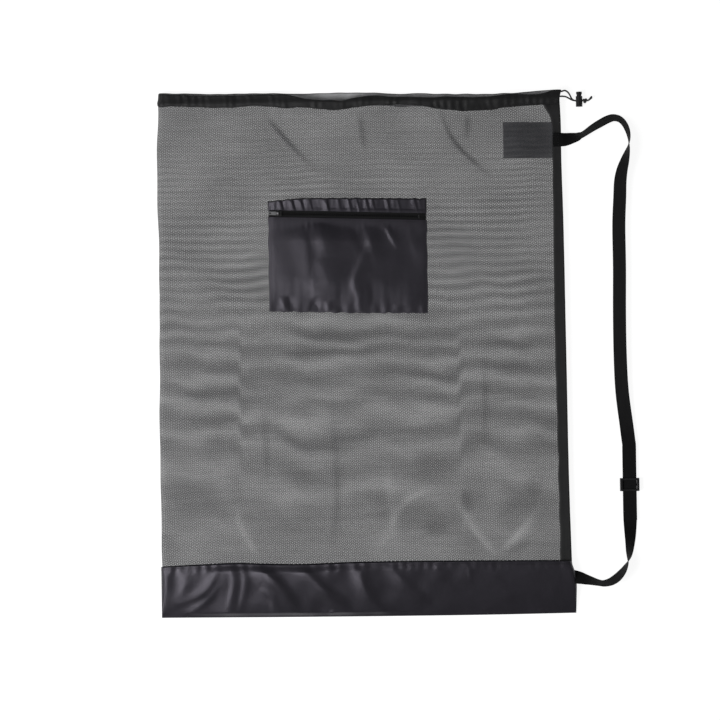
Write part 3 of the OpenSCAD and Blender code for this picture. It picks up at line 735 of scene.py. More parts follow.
def new_material(name, **fixed):
    """A material with one Principled shader, and its graph."""
    material = bpy.data.materials.new(name)
    material.use_nodes = True
    graph = Graph(material.node_tree)
    shader = material.node_tree.nodes["Principled BSDF"]
    for label, value in fixed.items():
        shader.inputs[label.replace("_", " ")].default_value = value
    return material, graph, shader.inputs


def put_group(graph, name, **inputs):
    """Places a shared group in a material."""
    node = graph.add("ShaderNodeGroup", node_tree=shared_group(name))
    for label, value in inputs.items():
        graph.put(node.inputs[label.replace("_", " ")], value)
    return node.outputs


def put_bump(graph, shader, height, strength, distance):
    """Raises a surface by a height."""
    bump = graph.add("ShaderNodeBump", {"Height": height, "Strength": strength, "Distance": distance})
    graph.put(shader["Normal"], bump.outputs[0])


def mesh_material():
    """Black knitted mesh with staggered round holes."""
    sizes = bpy.context.scene.sack_sizes
    material, g, shader = new_material("mesh_yarn", Roughness=0.62, Specular_IOR_Level=0.15)
    cloth = g.cloth_uv()
    spot = g.add("ShaderNodeTexCoord").outputs["Object"]
    streak = g.noise(g.vector("MULTIPLY", spot, (15.0, 120.0, 0.0)), 1.0, 2.0)
    # The mark closes holes where the cloth gathers and where shade and light are painted on the mesh
    gather_and_painted_shade = g.math("ADD", g.mark("gather_and_painted_shade"), g.math("MULTIPLY_ADD", streak, 0.12, -0.06))
    radius = math.sqrt(sizes.hole_share * math.sqrt(3) / (2 * math.pi))
    holes = put_group(g, "Staggered holes", Vector=cloth, Pitch=sizes.hole_pitch,
                      Radius=radius, Gather=gather_and_painted_shade, Fuzz=sizes.yarn_fuzz)
    tone = put_group(g, "Handled tone", Vector=cloth, Colour=colour_of("yarn"), Spread=0.4, Scale=30.0)
    g.put(shader["Base Color"], tone["Colour"])
    g.put(shader["Alpha"], holes["Yarn"])
    put_bump(g, shader, holes["Height"], 0.5, 0.0012)
    return material


def woven_material(name, colour, pitch, roughness, spread, gloss, sheen=0.0, ribs=None, shine=(1, 1, 1)):
    """Woven cloth, tape or webbing that reads its threads from the cloth's own UV."""
    material, g, shader = new_material(name, Specular_IOR_Level=gloss, Sheen_Weight=sheen,
                                       Sheen_Roughness=0.4, Specular_Tint=(*shine, 1.0))
    cloth = g.cloth_uv()
    weave = put_group(g, "Woven threads", Vector=cloth, Warp_pitch=pitch, Weft_pitch=ribs or pitch)
    tone = put_group(g, "Handled tone", Vector=cloth, Colour=colour_of(colour), Spread=spread, Scale=26.0)
    g.put(shader["Base Color"], tone["Colour"])
    rough = g.math("MULTIPLY_ADD", weave["Tone"], 0.16, roughness - 0.08)
    g.put(shader["Roughness"], g.math("MULTIPLY_ADD", tone["Mask"], 0.08, rough))
    put_bump(g, shader, weave["Height"], 0.35, pitch * 0.5)
    return material


def hem_material():
    """Hem tape, dark outside, with the paler inner face that shows at the mouth."""
    material, g, shader = new_material("hem_tape", Specular_IOR_Level=0.25, Sheen_Weight=0.02)
    cloth = g.cloth_uv()
    weave = put_group(g, "Woven threads", Vector=cloth, Warp_pitch=0.0005, Weft_pitch=0.0007)
    # Inputs 0, 6 and 7 are this node's share and its two colours
    both = g.add("ShaderNodeMix", {
        0: g.mark("inside"), 6: colour_of("tape"), 7: colour_of("lining")}, data_type="RGBA").outputs[2]
    tone = put_group(g, "Handled tone", Vector=cloth, Colour=both, Spread=0.5, Scale=30.0)
    g.put(shader["Base Color"], tone["Colour"])
    g.put(shader["Roughness"], g.math("MULTIPLY_ADD", tone["Mask"], 0.15, 0.45))
    put_bump(g, shader, weave["Height"], 0.4, 0.0003)
    return material


def cord_material():
    """Braided cord."""
    material, g, shader = new_material("cord_braid", Roughness=0.6, Sheen_Weight=0.1)
    cloth = g.cloth_uv()
    braid = put_group(g, "Braided strands", Vector=cloth, Strands=5.0, Lay=480.0)
    tone = put_group(g, "Handled tone", Vector=cloth, Colour=colour_of("cord"), Spread=0.5, Scale=200.0)
    g.put(shader["Base Color"], tone["Colour"])
    put_bump(g, shader, braid["Height"], 0.7, 0.0004)
    return material


def moulded_material(name, colour, roughness, scale, gloss, metallic=0.0):
    """Moulded plastic or cast metal with a fine grain and handling marks."""
    material, g, shader = new_material(name, Metallic=metallic, Specular_IOR_Level=gloss)
    spot = g.add("ShaderNodeTexCoord").outputs["Object"]
    tone = put_group(g, "Handled tone", Vector=spot, Colour=colour_of(colour), Spread=0.35, Scale=scale)
    grain = g.noise(spot, scale * 14, 3.0)
    g.put(shader["Base Color"], tone["Colour"])
    g.put(shader["Roughness"], g.math("MULTIPLY_ADD", tone["Mask"], 0.18, roughness - 0.09))
    put_bump(g, shader, grain, 0.25, 0.0002)
    return material


def floor_material():
    """Plain pale floor that looks white to the camera and keeps the sack's shadow."""
    material = bpy.data.materials.new("pale_floor")
    material.use_nodes = True
    tree = material.node_tree
    tree.nodes.clear()
    g = Graph(tree)
    path = g.add("ShaderNodeLightPath").outputs
    seen = g.math("MAXIMUM", path["Is Camera Ray"], path["Is Glossy Ray"])
    seen = g.math("MAXIMUM", seen, path["Is Transmission Ray"])
    bounce = g.add("ShaderNodeBsdfDiffuse", {"Color": (0.8, 0.8, 0.8, 1)})
    shade = g.add("ShaderNodeBsdfDiffuse", {"Color": (0.2, 0.2, 0.2, 1)})
    glow = g.add("ShaderNodeEmission", {"Color": (0.9, 0.9, 0.9, 1), "Strength": 1.0})
    both = g.add("ShaderNodeAddShader", {0: shade.outputs[0], 1: glow.outputs[0]})
    mixed = g.add("ShaderNodeMixShader", {0: seen, 1: bounce.outputs[0], 2: both.outputs[0]})
    g.add("ShaderNodeOutputMaterial", {"Surface": mixed.outputs[0]})
    return material


# Pitches are in metres, and ribs are the pitch of the threads that lie across the cloth
WOVEN = {
    "shiny_nylon": dict(colour="nylon", pitch=0.0004, roughness=0.38, spread=0.35, gloss=0.48,
                        sheen=0.03, shine=(0.92, 0.87, 1.0)),
    "patch_cloth": dict(colour="patch", pitch=0.0004, roughness=0.5, spread=0.3, gloss=0.3, sheen=0.03),
    "binding_tape": dict(colour="tape", pitch=0.0006, roughness=0.58, spread=0.4, gloss=0.32,
                         sheen=0.03, ribs=0.001),
    "strap_webbing": dict(colour="webbing", pitch=0.0009, roughness=0.66, spread=0.4, gloss=0.10,
                          sheen=0.01, ribs=0.0018),
    "zip_cloth": dict(colour="zip_cloth", pitch=0.0005, roughness=0.7, spread=0.3, gloss=0.12, ribs=0.0012),
}
MOULDED = {
    "tooth_plastic": dict(colour="teeth", roughness=0.6, scale=300.0, gloss=0.16),
    "pull_metal": dict(colour="metal", roughness=0.46, scale=260.0, gloss=0.5, metallic=1.0),
    "zip_enamel": dict(colour="enamel", roughness=0.36, scale=260.0, gloss=0.4),
    "moulded_plastic": dict(colour="plastic", roughness=0.42, scale=160.0, gloss=0.3),
    "coil_steel": dict(colour="steel", roughness=0.3, scale=300.0, gloss=0.5, metallic=1.0),
    "sewing_thread": dict(colour="thread", roughness=0.6, scale=400.0, gloss=0.2),
}
OTHER_FINISHES = {"mesh_yarn": mesh_material, "hem_tape": hem_material, "cord_braid": cord_material}


def material_for(key):
    """One of the sack's finishes, built the first time it is asked for."""
    if key in bpy.data.materials:
        return bpy.data.materials[key]
    if key in WOVEN:
        return woven_material(key, **WOVEN[key])
    if key in MOULDED:
        return moulded_material(key, **MOULDED[key])
    return OTHER_FINISHES[key]()


# Stage

# The camera looks straight down at the photograph's scale: millimetres, pixels and degrees
PHOTO_MM_PER_PIXEL = 1.45
PHOTO_PIXELS = 720
CAMERA_AIM = (-56.85, -8.55)
CAMERA_TURN = -0.9
CAMERA_HEIGHT = 3200.0
FLOOR_REACH, FLOOR_Z = 6000.0, -0.2
# Lamps: name, place, what each looks at and its size in metres, and its watts
LAMPS = [("window_left", (-1.35, -0.5, 1.5), (-0.1, 0, 0), 1.0, 46.0),
         ("bounce_right", (1.7, 0.1, 2.2), (0, 0, 0), 1.6, 5.0)]


class SACK_OT_stage(bpy.types.Operator):
    """Set the pale floor, the soft light from the left and the camera over the laid sack"""

    bl_idname = "sack.stage"
    bl_label = "Stage"

    def execute(self, context):
        scene = context.scene
        scene.view_settings.view_transform = "Standard"
        camera = bpy.data.cameras.new("camera")
        camera.sensor_fit = "HORIZONTAL"
        camera.lens = camera.sensor_width * CAMERA_HEIGHT / (PHOTO_MM_PER_PIXEL * PHOTO_PIXELS)
        holder = place("camera", camera)
        holder.location = (CAMERA_AIM[0] * MM, CAMERA_AIM[1] * MM, (CAMERA_HEIGHT + LOFT) * MM)
        holder.rotation_euler = (0, 0, math.radians(CAMERA_TURN))
        scene.camera = holder
        reach = FLOOR_REACH
        corners = [(-reach, -reach, FLOOR_Z), (reach, -reach, FLOOR_Z), (reach, reach, FLOOR_Z),
                   (-reach, reach, FLOOR_Z)]
        new_object("floor", corners, [(0, 1, 2, 3)], floor_material())
        for lamp in LAMPS:
            self.lamp(*lamp)
        self.world(scene)
        return {"FINISHED"}

    def lamp(self, name, spot, aim, size, watts):
        """A square soft light that looks at a point."""
        light = bpy.data.lights.new(name, "AREA")
        light.size = size
        light.energy = watts
        lamp = place(name, light)
        lamp.location = spot
        lamp.rotation_euler = (Vector(aim) - Vector(spot)).to_track_quat("-Z", "Y").to_euler()

    def world(self, scene):
        """A dim even light all round, which the camera sees as white."""
        world = bpy.data.worlds.new("studio")
        world.use_nodes = True
        scene.world = world
        g = Graph(world.node_tree)
        back = world.node_tree.nodes["Background"]
        path = g.add("ShaderNodeLightPath").outputs
        g.put(back.inputs["Strength"], g.math("MULTIPLY_ADD", path["Is Camera Ray"], 0.82, 0.18))
        back.inputs["Color"].default_value = (1, 1, 1, 1)


# Drawcord

# Y of the two runs in the hem, and where they leave it
FRONT_RUN, FRONT_EXIT = 366.5, 369.5
BACK_RUN, BACK_EXIT = 371.0, 378.3
# How far inside the hem's end the free ends start
CORD_START = 1.5
# Half the gap between the two cords in the lock
CORD_CLEARANCE = 0.06


def run_line(x, back):
    """Y of the drawcord's run in the hem, from the front run (0) to the back run (1)."""
    run = FRONT_RUN + (BACK_RUN - FRONT_RUN) * back
    out = FRONT_EXIT + (BACK_EXIT - FRONT_EXIT) * back
    return run + (out - run) * smooth_step(SEAM_X - 60, SEAM_X - 8, x)


def cord_route(way, start_y, start_z, end_z):
    """Points of one free end of the drawcord, from the hem through the lock to the knot."""
    lock_x = node_middle("lock_barrel")[0]
    lock_y = KNOT_MIDDLE[1]
    points = [(SEAM_X - CORD_START, start_y, start_z)]
    for out, across, down, shift in way:
        points.append((SEAM_X + out, start_y + (lock_y - start_y) * across + shift,
                       start_z + (end_z - start_z) * down))
    points += [(x, lock_y, end_z) for x in (lock_x - 5, lock_x, KNOT_LOW[0])]
    return smooth_route(points, 6)


class SACK_OT_drawcord(bpy.types.Operator):
    """Lay the braided drawcord: its runs in the hem, its turn, free ends, knot and tails"""

    bl_idname = "sack.drawcord"
    bl_label = "Drawcord"

    def execute(self, context):
        radius = context.scene.sack_sizes.cord / MM / 2
        braid = material_for("cord_braid")
        knot = KNOT_MIDDLE
        gap = radius + CORD_CLEARANCE
        for side, z, back in (("front", RUN_Z, 0), ("back", LOFT - RUN_Z, 1)):
            path = [(x, run_line(x, back), z) for x in np.linspace(FOLD_X, SEAM_X - CORD_START, 80)]
            run = tube(f"hem_cord_{side}", path, radius, braid, 8)
            fit(run, "drawcord", "cord", f"drawcord_run_{side}")
        path = [(FOLD_X + RUN_RADIUS * math.cos(a), FRONT_RUN + (BACK_RUN - FRONT_RUN) * (a / math.pi - 0.5),
                 HALF + RUN_RADIUS * math.sin(a)) for a in fold_turn(20)]
        fit(tube("hem_cord_turn", path, radius, braid, 10), "bag", "cord", "drawcord_bight")
        knot_piece = self.knot(knot, radius, braid)
        tails = self.tails(knot, radius, gap, braid)
        for side, way, y, z, s in (("front", FRONT_END_WAY, FRONT_EXIT, RUN_Z, 1),
                                   ("back", BACK_END_WAY, BACK_EXIT, LOFT - RUN_Z, -1)):
            route = cord_route(way, y, z, knot[2] + s * gap)
            end = tube(f"cord_end_{side}", route, radius, braid, 12)
            fit(end, "drawcord", "cord", f"drawcord_end_{side}")
            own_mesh(end)
        return {"FINISHED"}

    def knot(self, middle, radius, braid):
        """An overhand knot pulled tight, as an open trefoil that the two cords run into."""
        t = np.linspace(0.35, 2 * math.pi - 0.35, 90) + math.pi / 6
        size = (KNOT_HIGH[1] - KNOT_LOW[1]) / 2 - radius * 0.8
        x = (np.sin(t) + 2 * np.sin(2 * t)) / 3
        y = (np.cos(t) - 2 * np.cos(2 * t)) / 3
        z = -np.sin(3 * t)
        path = np.stack([middle[0] + size * 0.95 * x, middle[1] + size * y,
                         middle[2] + size * 0.62 * z], axis=1)
        piece = tube("cord_knot_turns", path, radius * 0.94, braid, 12)
        return fit(piece, "drawcord", "cord", "cord_knot")

    def tails(self, knot, radius, gap, braid):
        """The two cut tails past the knot, each with a melted end."""
        pieces = []
        for s in (-1, 1):
            x, y, z = KNOT_HIGH[0] - 1, knot[1], knot[2] + s * gap
            path = smooth_route([(x, y, z), (x + 3, y + 0.4, z), (x + 5, y + 2 - s * 0.4, z),
                                 (x + 8, y + 5 - s, z)], 5)
            pieces.append(tube(f"cord_tail_{'upper' if s > 0 else 'lower'}", path, radius, braid, 12))
        fit(pieces[0], "drawcord", "cord", "drawcord_tails")
        fit(pieces[1], "drawcord", "cord")
        return pieces


# Mesh

def bag_x(x, y):
    """Where a point of the solids' straight outline lies on the laid cloth."""
    left = along_line(LEFT_EDGE, y)
    right = along_line(BINDING_OUTER, y)
    return left + (x - BAG_LEFT) * (right - left) / (SEAM_X - BAG_LEFT)


def flat_x(x, y):
    """Where a point of the laid cloth lies on the solids' straight outline."""
    left = along_line(LEFT_EDGE, y)
    right = along_line(BINDING_OUTER, y)
    return BAG_LEFT + (x - left) * (SEAM_X - BAG_LEFT) / (right - left)


def hem_low(x, front):
    """Y of the hem's lower edge, on the front or on the back."""
    return np.where(front, along_line(FRONT_HEM_LOW, x), along_line(BACK_HEM_TOP, x) - BACK_HEM_DEPTH)


def seam_fall(x):
    """How far the mesh has come down to the seam at the right, from 0 to 1."""
    return smooth_step(SEAM_X - FALL_START, SEAM_X - FALL_END, x)


def front_height(x):
    """Height of the front mesh."""
    front_z = LOFT - MESH_INSET
    return front_z + (HALF + SEAM_GAP - front_z) * seam_fall(x)


def near_box(x, y, low, high, reach):
    """1 inside a box of X and Y, falling to 0 at some reach outside it."""
    return (smooth_step(low[0] - reach, low[0], x) * smooth_step(high[0] + reach, high[0], x)
            * smooth_step(low[1] - reach, low[1], y) * smooth_step(high[1] + reach, high[1], y))


# How far the mesh reaches into the base and the hem, how far it tucks in there, and how far it slips
BASE_LAP, HEM_LAP = 10, 2.6
BASE_TUCK, HEM_TUCK = 3.4, 1.2
SLIP = 0.7
# How much the holes close: at a crease, at a ripple as painted shade and light, in soft patches and at the
# hem, and everywhere
CREASE_GATHER, RIPPLE_PAINTED_LIGHT_AND_SHADE, SOFT_GATHER, HEM_GATHER, EVEN_GATHER = 0.46, 0.15, 0.045, 0.07, 0.02
# How much more they close to the right as painted shade, from one place in X and over one distance
SIDE_PAINTED_SHADE, SIDE_FROM, SIDE_OVER = 0.035, -220, 340


class SACK_OT_mesh(bpy.types.Operator):
    """Make the mesh body: one knitted sheet folded at the left and sewn at the right"""

    bl_idname = "sack.mesh"
    bl_label = "Mesh body"

    def execute(self, context):
        sizes = context.scene.sack_sizes
        rows, cols = 300, 330
        section, run = self.section(cols)
        straight_x = np.broadcast_to(section[:, 0], (rows, cols))
        front = section[:, 1] > HALF
        # The sheet runs from inside the base to inside the hem, and stops short of the cord
        foot = BASE_TOP - BASE_LAP
        hem = hem_low(section[:, 0], front)
        top = np.minimum(hem + HEM_LAP, FRONT_RUN - 1.3 + 4 * ~front)
        y = foot + (top - foot) * np.linspace(0, 1, rows)[:, None]
        tangent = unit(np.gradient(section, axis=0))
        outward = np.stack([tangent[:, 1], -tangent[:, 0]], axis=1)
        # It rises in ripples and folds, and slips sideways where no edge holds it
        ripple = self.ripples(straight_x, y)
        rise = self.rise(straight_x, y, front, ripple, sizes.ripple / MM)
        slip_x = SLIP * np.where(front, waves(straight_x, y, 5, 130), waves(straight_x, y, 6, 150))
        slip_y = SLIP * np.where(front, waves(straight_x, y, 7, 110), waves(straight_x, y, 8, 140))
        hold = smooth_step(BASE_TOP - 12, BASE_TOP + 30, y) * smooth_step(HEM_LOW[1] + 8, HEM_LOW[1] - 30, y)
        at_seam = smooth_step(SEAM_X - 12, SEAM_X - 50, straight_x)
        x = bag_x(straight_x, y) + outward[:, 0] * rise + slip_x * hold * at_seam
        # It tucks in under the hem and the base
        tuck = HEM_TUCK * smooth_step(hem - 5, hem + 3, y)
        tuck = tuck + BASE_TUCK * smooth_step(BASE_TOP + 4, BASE_TOP - BASE_LAP, y)
        tuck = tuck * np.clip(np.abs(section[:, 1] - HALF) / (HALF - MESH_INSET), 0, 1) ** 2
        z = section[:, 1] + outward[:, 1] * rise - np.sign(section[:, 1] - HALF) * tuck
        grid = grid_of(x, y + slip_y * hold, z)
        along, across = math.cos(sizes.cut_angle), math.sin(sizes.cut_angle)
        uv = grid_of(run * along - y * across, run * across + y * along) * MM
        gather_and_painted_shade = self.gather_and_painted_shade(straight_x, y, front, ripple)
        cloth = cloth_piece("mesh_cloth", grid[:, ::-1], uv[:, ::-1], material_for("mesh_yarn"),
                            marks={"gather_and_painted_shade": gather_and_painted_shade[:, ::-1]})
        fit(cloth, "bag", "mesh", "mesh_body")
        return {"FINISHED"}

    def section(self, cols):
        """Section of the sack in X and Z, from the seam over the front, round the fold and back."""
        back_z = MESH_INSET
        near = np.linspace(SEAM_X - MESH_INSET, FOLD_X, 400)
        over = np.stack([near, front_height(near)], axis=1)
        under = np.stack([near, back_z + (HALF - SEAM_GAP - back_z) * seam_fall(near)], axis=1)[::-1]
        turn = fold_turn(40)[1:-1]
        r = HALF - MESH_INSET
        fold = np.stack([FOLD_X + r * np.cos(turn), HALF + r * np.sin(turn)], axis=1)
        return even_path(np.concatenate([over, fold, under]), cols)

    def ripples(self, x, y):
        """Bowed ripples across the sack, fine near the mouth and broad near the base."""
        height, step, show = np.array(RIPPLES, float).T
        places = np.linspace(height[0], height[-1], 500)
        turns = np.cumsum((places[1] - places[0]) / np.interp(places, height, step))
        bow = 0.17 * waves(x, y, 24, 230) + 0.09 * waves(x, y, 25, 58)
        below_pocket = smooth_step(70, 20, y)
        for fold, shift in RIPPLE_BREAKS:
            bow = bow + shift * smooth_step(fold - 5, fold + 5, x) * below_pocket
        wave = np.sin(2 * math.pi * (np.interp(y, places, turns) + bow))
        patchy = 0.85 + 0.35 * np.clip(waves(x, y, 26, 130), -1, 1)
        return wave * np.interp(y, height, show) * patchy

    def rise(self, x, y, front, ripples, height):
        """How far the mesh stands off the flat: ripples across, long soft folds and creases."""
        across = (math.pi / 2 - 0.22, math.pi / 2 + 0.22)
        top = height * (ripples + 0.8 * waves(x, y, 12, 60)) + fold_height(x, y, MESH_FOLDS)
        under = 0.35 * height * (waves(x, y, 13, 19, across) + waves(x, y, 14, 70))
        hem = hem_low(x, front)
        ends = smooth_step(BASE_TOP - 6, BASE_TOP + 14, y) * smooth_step(hem, hem - 14, y)
        edge = smooth_step(SEAM_X - 16, SEAM_X - 45, x)
        pocket = near_box(x, y, PANEL_LOW, (PANEL_HIGH[0], STRIP_HIGH[1]), 12)
        patch = near_box(x, y, PATCH_LOW, (SEAM_X, PATCH_HIGH[1]), 8)
        # It stays below the pocket that is sewn on it and above the patch behind it
        top = np.where(pocket > 0, np.minimum(top, 0.4 + 4 * (1 - pocket)), top)
        top = np.where(patch > 0, np.maximum(top, -0.2 - 3 * (1 - patch)), top)
        fold = smooth_step(FOLD_X, FOLD_X + 45, x)
        return np.where(front, top, np.maximum(under, -1.1)) * ends * edge * fold

    def gather_and_painted_shade(self, x, y, front, ripples):
        """How much the holes close where the cloth bunches up at a crease or the hem, and as painted shade
        and light at the ripples, towards the right and at listed places.
        """
        tallest = max(height for _, _, height in MESH_CREASES)
        creases = np.clip(fold_height(x, y, MESH_CREASES) / tallest, 0, 1)
        soft = np.clip(waves(x, y, 22, 120), -1, 1)
        # At a ripple the holes close and open in step with its height, as painted shade and light
        share = CREASE_GATHER * creases + EVEN_GATHER + RIPPLE_PAINTED_LIGHT_AND_SHADE * ripples + SOFT_GATHER * soft
        hem = smooth_step(HEM_LOW[1] - 26, HEM_LOW[1], y) * (0.5 + 0.5 * waves(x, y, 23, 22, (-0.3, 0.3)))
        # Painted shade and light: the holes close more towards the right and at the listed places
        shade = SIDE_PAINTED_SHADE * (x - SIDE_FROM) / SIDE_OVER + fold_height(x, y, MESH_PAINTED_LIGHT_AND_SHADE)
        return np.where(front, share + HEM_GATHER * hem + shade, EVEN_GATHER)


# Hem and binding

# The hem's tape: half its thickness, its swelling over the cord, how far that reaches, and the cord's room
HEM_FLAT, HEM_SWELL, HEM_REACH, HEM_ROOM = 0.75, 1.35, 4.2, 1.95


class SACK_OT_hem(bpy.types.Operator):
    """Make the hem: a tape tunnel that runs round the mouth and holds the drawcord"""

    bl_idname = "sack.hem"
    bl_label = "Hem"

    def execute(self, context):
        rows, cols = 560, 28
        grid, run, girth = self.tunnel(rows, cols)
        uv = grid_of(girth, run[:, None]) * MM
        inside = self.inner_face(grid)
        hem = cloth_piece("hem_tape_tunnel", grid, uv, material_for("hem_tape"),
                          context.scene.sack_sizes.cloth / MM, ring=True, marks={"inside": inside})
        fit(hem, "bag", "tape", "hem_casing")
        sew(grid, cols=(int(0.4 * cols), int(0.6 * cols)), ring=True)
        return {"FINISHED"}

    def edges(self, x, run, back):
        """Y of the top and the low edge along the mouth, from the front (0) to the back (1)."""
        back_top = along_line(BACK_HEM_TOP, x)
        top = along_line(FRONT_HEM_TOP, x) * (1 - back) + back_top * back
        low = along_line(FRONT_HEM_LOW, x) * (1 - back) + (back_top - BACK_HEM_DEPTH) * back
        return top + 0.3 * waves(run, 0 * run, 31, 34), low + 0.35 * waves(run, 0 * run, 32, 30)

    def tunnel(self, rows, cols):
        """Points of the tunnel, rows along the mouth and columns round the flat tube, and both lengths."""
        bend = [(FOLD_X + RUN_RADIUS * math.cos(a), HALF + RUN_RADIUS * math.sin(a)) for a in fold_turn(40)]
        line, run = even_path([(SEAM_X, HALF + RUN_RADIUS), *bend, (SEAM_X, HALF - RUN_RADIUS)], rows)
        ahead = unit(np.gradient(line, axis=0))
        out = np.stack([ahead[:, 1], -ahead[:, 0]], axis=1)
        back = smooth_step(HALF + RUN_RADIUS, HALF - RUN_RADIUS, line[:, 1])
        x = line[:, 0]
        top, low = self.edges(x, run, back)
        # Section of the flat tube, with square shoulders
        phi = np.arange(cols) / cols * 2 * math.pi
        tall = np.sign(np.cos(phi)) * np.abs(np.cos(phi)) ** 0.7
        deep = np.sign(np.sin(phi)) * np.abs(np.sin(phi)) ** 0.6
        y = (top + low)[:, None] / 2 + (top - low)[:, None] / 2 * tall
        # It swells over the cord, where that lies and where it passes when it is pulled, and puckers
        laid, pulled = run_line(x, back), run_line(np.minimum(x, 0), back)
        near_cord = np.maximum(*[np.exp(-((y - cord[:, None]) / HEM_REACH) ** 2) for cord in (laid, pulled)])
        swell = HEM_FLAT + HEM_SWELL * near_cord
        pucker = (0.42 * waves(run[:, None], y, 33, 10, (-0.25, 0.25))
                  + 0.4 * waves(run[:, None], y, 34, 26, (-0.5, 0.5)))
        off = deep * swell + np.where(deep > 0, pucker, 0.5 * pucker) * (1 - np.abs(tall) ** 4)
        room = HEM_ROOM * near_cord * np.abs(deep)
        off = np.where(deep > 0, np.maximum(off, room), np.minimum(off, -room))
        # Its top edge rolls, but less on the back that lies on the floor
        roll = 0.6 * waves(run[:, None], 0 * y, 35, 60) * (tall + 1) / 2
        ground = np.where(back[:, None] > 0.5, np.clip(roll, -0.2, 0.2), roll)
        px = bag_x(x[:, None], y) + out[:, :1] * (off + ground)
        pz = line[:, 1:] + out[:, 1:] * (off + ground)
        grid = grid_of(px, y, np.maximum(pz, 0.15))
        return grid[:, ::-1], run, girth_of(grid)[:, ::-1]

    def inner_face(self, grid):
        """1 on the face that looks into the sack, apart from the rolled top edge."""
        middle = grid.mean(axis=1, keepdims=True)
        normal = grid_normals(grid, True)
        inward = np.where(middle[:, :, 2] > HALF, -normal[:, :, 2], normal[:, :, 2])
        top = grid[:, :, 1].max(axis=1, keepdims=True)
        return smooth_step(0.2, 0.6, inward) * smooth_step(0.6, 1.6, top - grid[:, :, 1])


# Width of the binding's tape before it is folded, and its thickness as a share of the cloth's
BINDING_WIDTH, BINDING_BULK = 36.0, 1.4
# How far each flap lies off the seam's middle
BINDING_LIFT = 1.75


class SACK_OT_binding(bpy.types.Operator):
    """Make the side binding: a tape folded over the right seam"""

    bl_idname = "sack.binding"
    bl_label = "Side binding"

    def execute(self, context):
        rows, cols = 330, 22
        y = np.linspace(BINDING_LOW[1] - 6, BINDING_HIGH[1] + 6, rows)[:, None]
        share = np.linspace(-1, 1, cols)[None, :]
        inner, outer = along_line(BINDING_INNER, y), along_line(BINDING_OUTER, y)
        flap = np.abs(share)
        bend = smooth_step(0.18, 0.0, flap)
        # Each flap reaches from the fold just outside the seam in to the binding's inner edge
        reach = outer + 0.9 - (outer + 0.9 - inner) * np.clip((flap - 0.06) / 0.94, 0, 1) ** 1.15
        side = np.where(share < 0, 1.0, -1.0)
        lift = BINDING_LIFT * (1 - bend**2) + 0.25 * waves(y, share * 8, 41, 24)
        rise = front_height(flat_x(reach, y)) - HALF - SEAM_GAP
        z = HALF + side * (lift + rise)
        x = reach + 0.5 * waves(y, 0 * share, 42, 46) * flap
        grid = grid_of(x, y, z)
        length = float(y[-1, 0] - y[0, 0])
        tape = cloth_piece("binding_tape_fold", grid, grid_uv(BINDING_WIDTH, length, rows, cols),
                           material_for("binding_tape"), context.scene.sack_sizes.cloth / MM * BINDING_BULK)
        fit(tape, "bag", "tape", "side_binding")
        sew(grid, cols=(3, cols - 4))
        return {"FINISHED"}


# Base

# Half the base's height at its bottom fold, and at the closed edge below it
FOOT_HALF, SHUT_HALF = 0.8, 0.3
# Height of the broad swell under the left folds
BASE_SWELL = 5.0


class SACK_OT_base(bpy.types.Operator):
    """Make the base band: shiny cloth that closes the bottom and creases as it lies"""

    bl_idname = "sack.base"
    bl_label = "Base band"

    def execute(self, context):
        rows, flat_cols, round_cols = 84, 300, 14
        grid, girth = self.shell(rows, flat_cols, round_cols)
        height = BASE_TOP - BASE_FOOT
        uv = grid_of(girth, np.linspace(height, 0, rows)[:, None]) * MM
        base = cloth_piece("base_cloth", grid, uv, material_for("shiny_nylon"),
                           context.scene.sack_sizes.cloth / MM, ring=True)
        fit(base, "bag", "nylon", "base_band")
        sew(grid, rows=(3, 5), ring=True)
        return {"FINISHED"}

    def shell(self, rows, flat_cols, round_cols):
        """Points of the shell: rows from the top edge to the bottom fold, columns all the way round."""
        # Columns run over the front to the left, round, under the back to the right and round again
        share = np.concatenate([np.linspace(0, 1, rows - 1), [1.0]])[:, None]
        flat = np.linspace(0, 1, flat_cols, endpoint=False)
        turn = np.linspace(0, math.pi, round_cols, endpoint=False)
        none = np.zeros_like(turn)
        way = np.concatenate([1 - flat, none, flat, none + 1])[None, :]
        angle = np.concatenate([0 * flat, turn, 0 * flat + math.pi, turn + math.pi])[None, :]
        bulge = np.sin(angle) * np.where(angle > math.pi, -1, 1)
        front = np.cos(angle)
        half = HALF + (FOOT_HALF - HALF) * share ** 1.5
        half[-1] = SHUT_HALF
        level = BASE_TOP + (BASE_FOOT - BASE_TOP) * share
        left_at, right_at = along_line(LEFT_EDGE, level), along_line(BASE_RIGHT, level)
        side = np.where(way < 0.5, -1.0, 1.0)
        x = left_at + half + (right_at - left_at - 2 * half) * way + side * half * bulge
        top_y, foot_y = along_line(BASE_EDGE, x), along_line(BASE_FOLD, x)
        y = top_y + (foot_y - top_y) * share
        y[-1] -= 0.4
        z = half * (1 + front)
        # The front puckers under its seam and creases as it lies, less to the right
        hold = smooth_step(-0.02, 0.16, share) * smooth_step(1.0, 0.9, share)
        pucker = waves(x, 0 * y, 51, 14, (0, 0.1)) * np.exp(-((share - 0.06) / 0.09) ** 2)
        pucker = pucker * (0.5 - 0.36 * smooth_step(-60, 60, x))
        crease = fold_height(x, y, BASE_FOLDS) * (1 - 0.35 * share) + 0.4 * waves(x, y, 52, 46)
        crease = crease + BASE_SWELL * smooth_step(-352, -240, x) * smooth_step(120, -200, x)
        calm = 1 - 0.6 * smooth_step(20, 110, x)
        roll = 0.5 * np.exp(-(share / 0.035) ** 2)
        over = np.clip(front, 0, 1)
        z = z + over * ((crease * calm * hold) + pucker + roll)
        under = np.clip(-front, 0, 1) * 0.5 * np.abs(waves(x, y, 53, 50)) * hold
        z = np.maximum(z + under, 0.1)
        grid = grid_of(x, y, z)
        return grid, girth_of(grid)


# Pocket, patch and zip

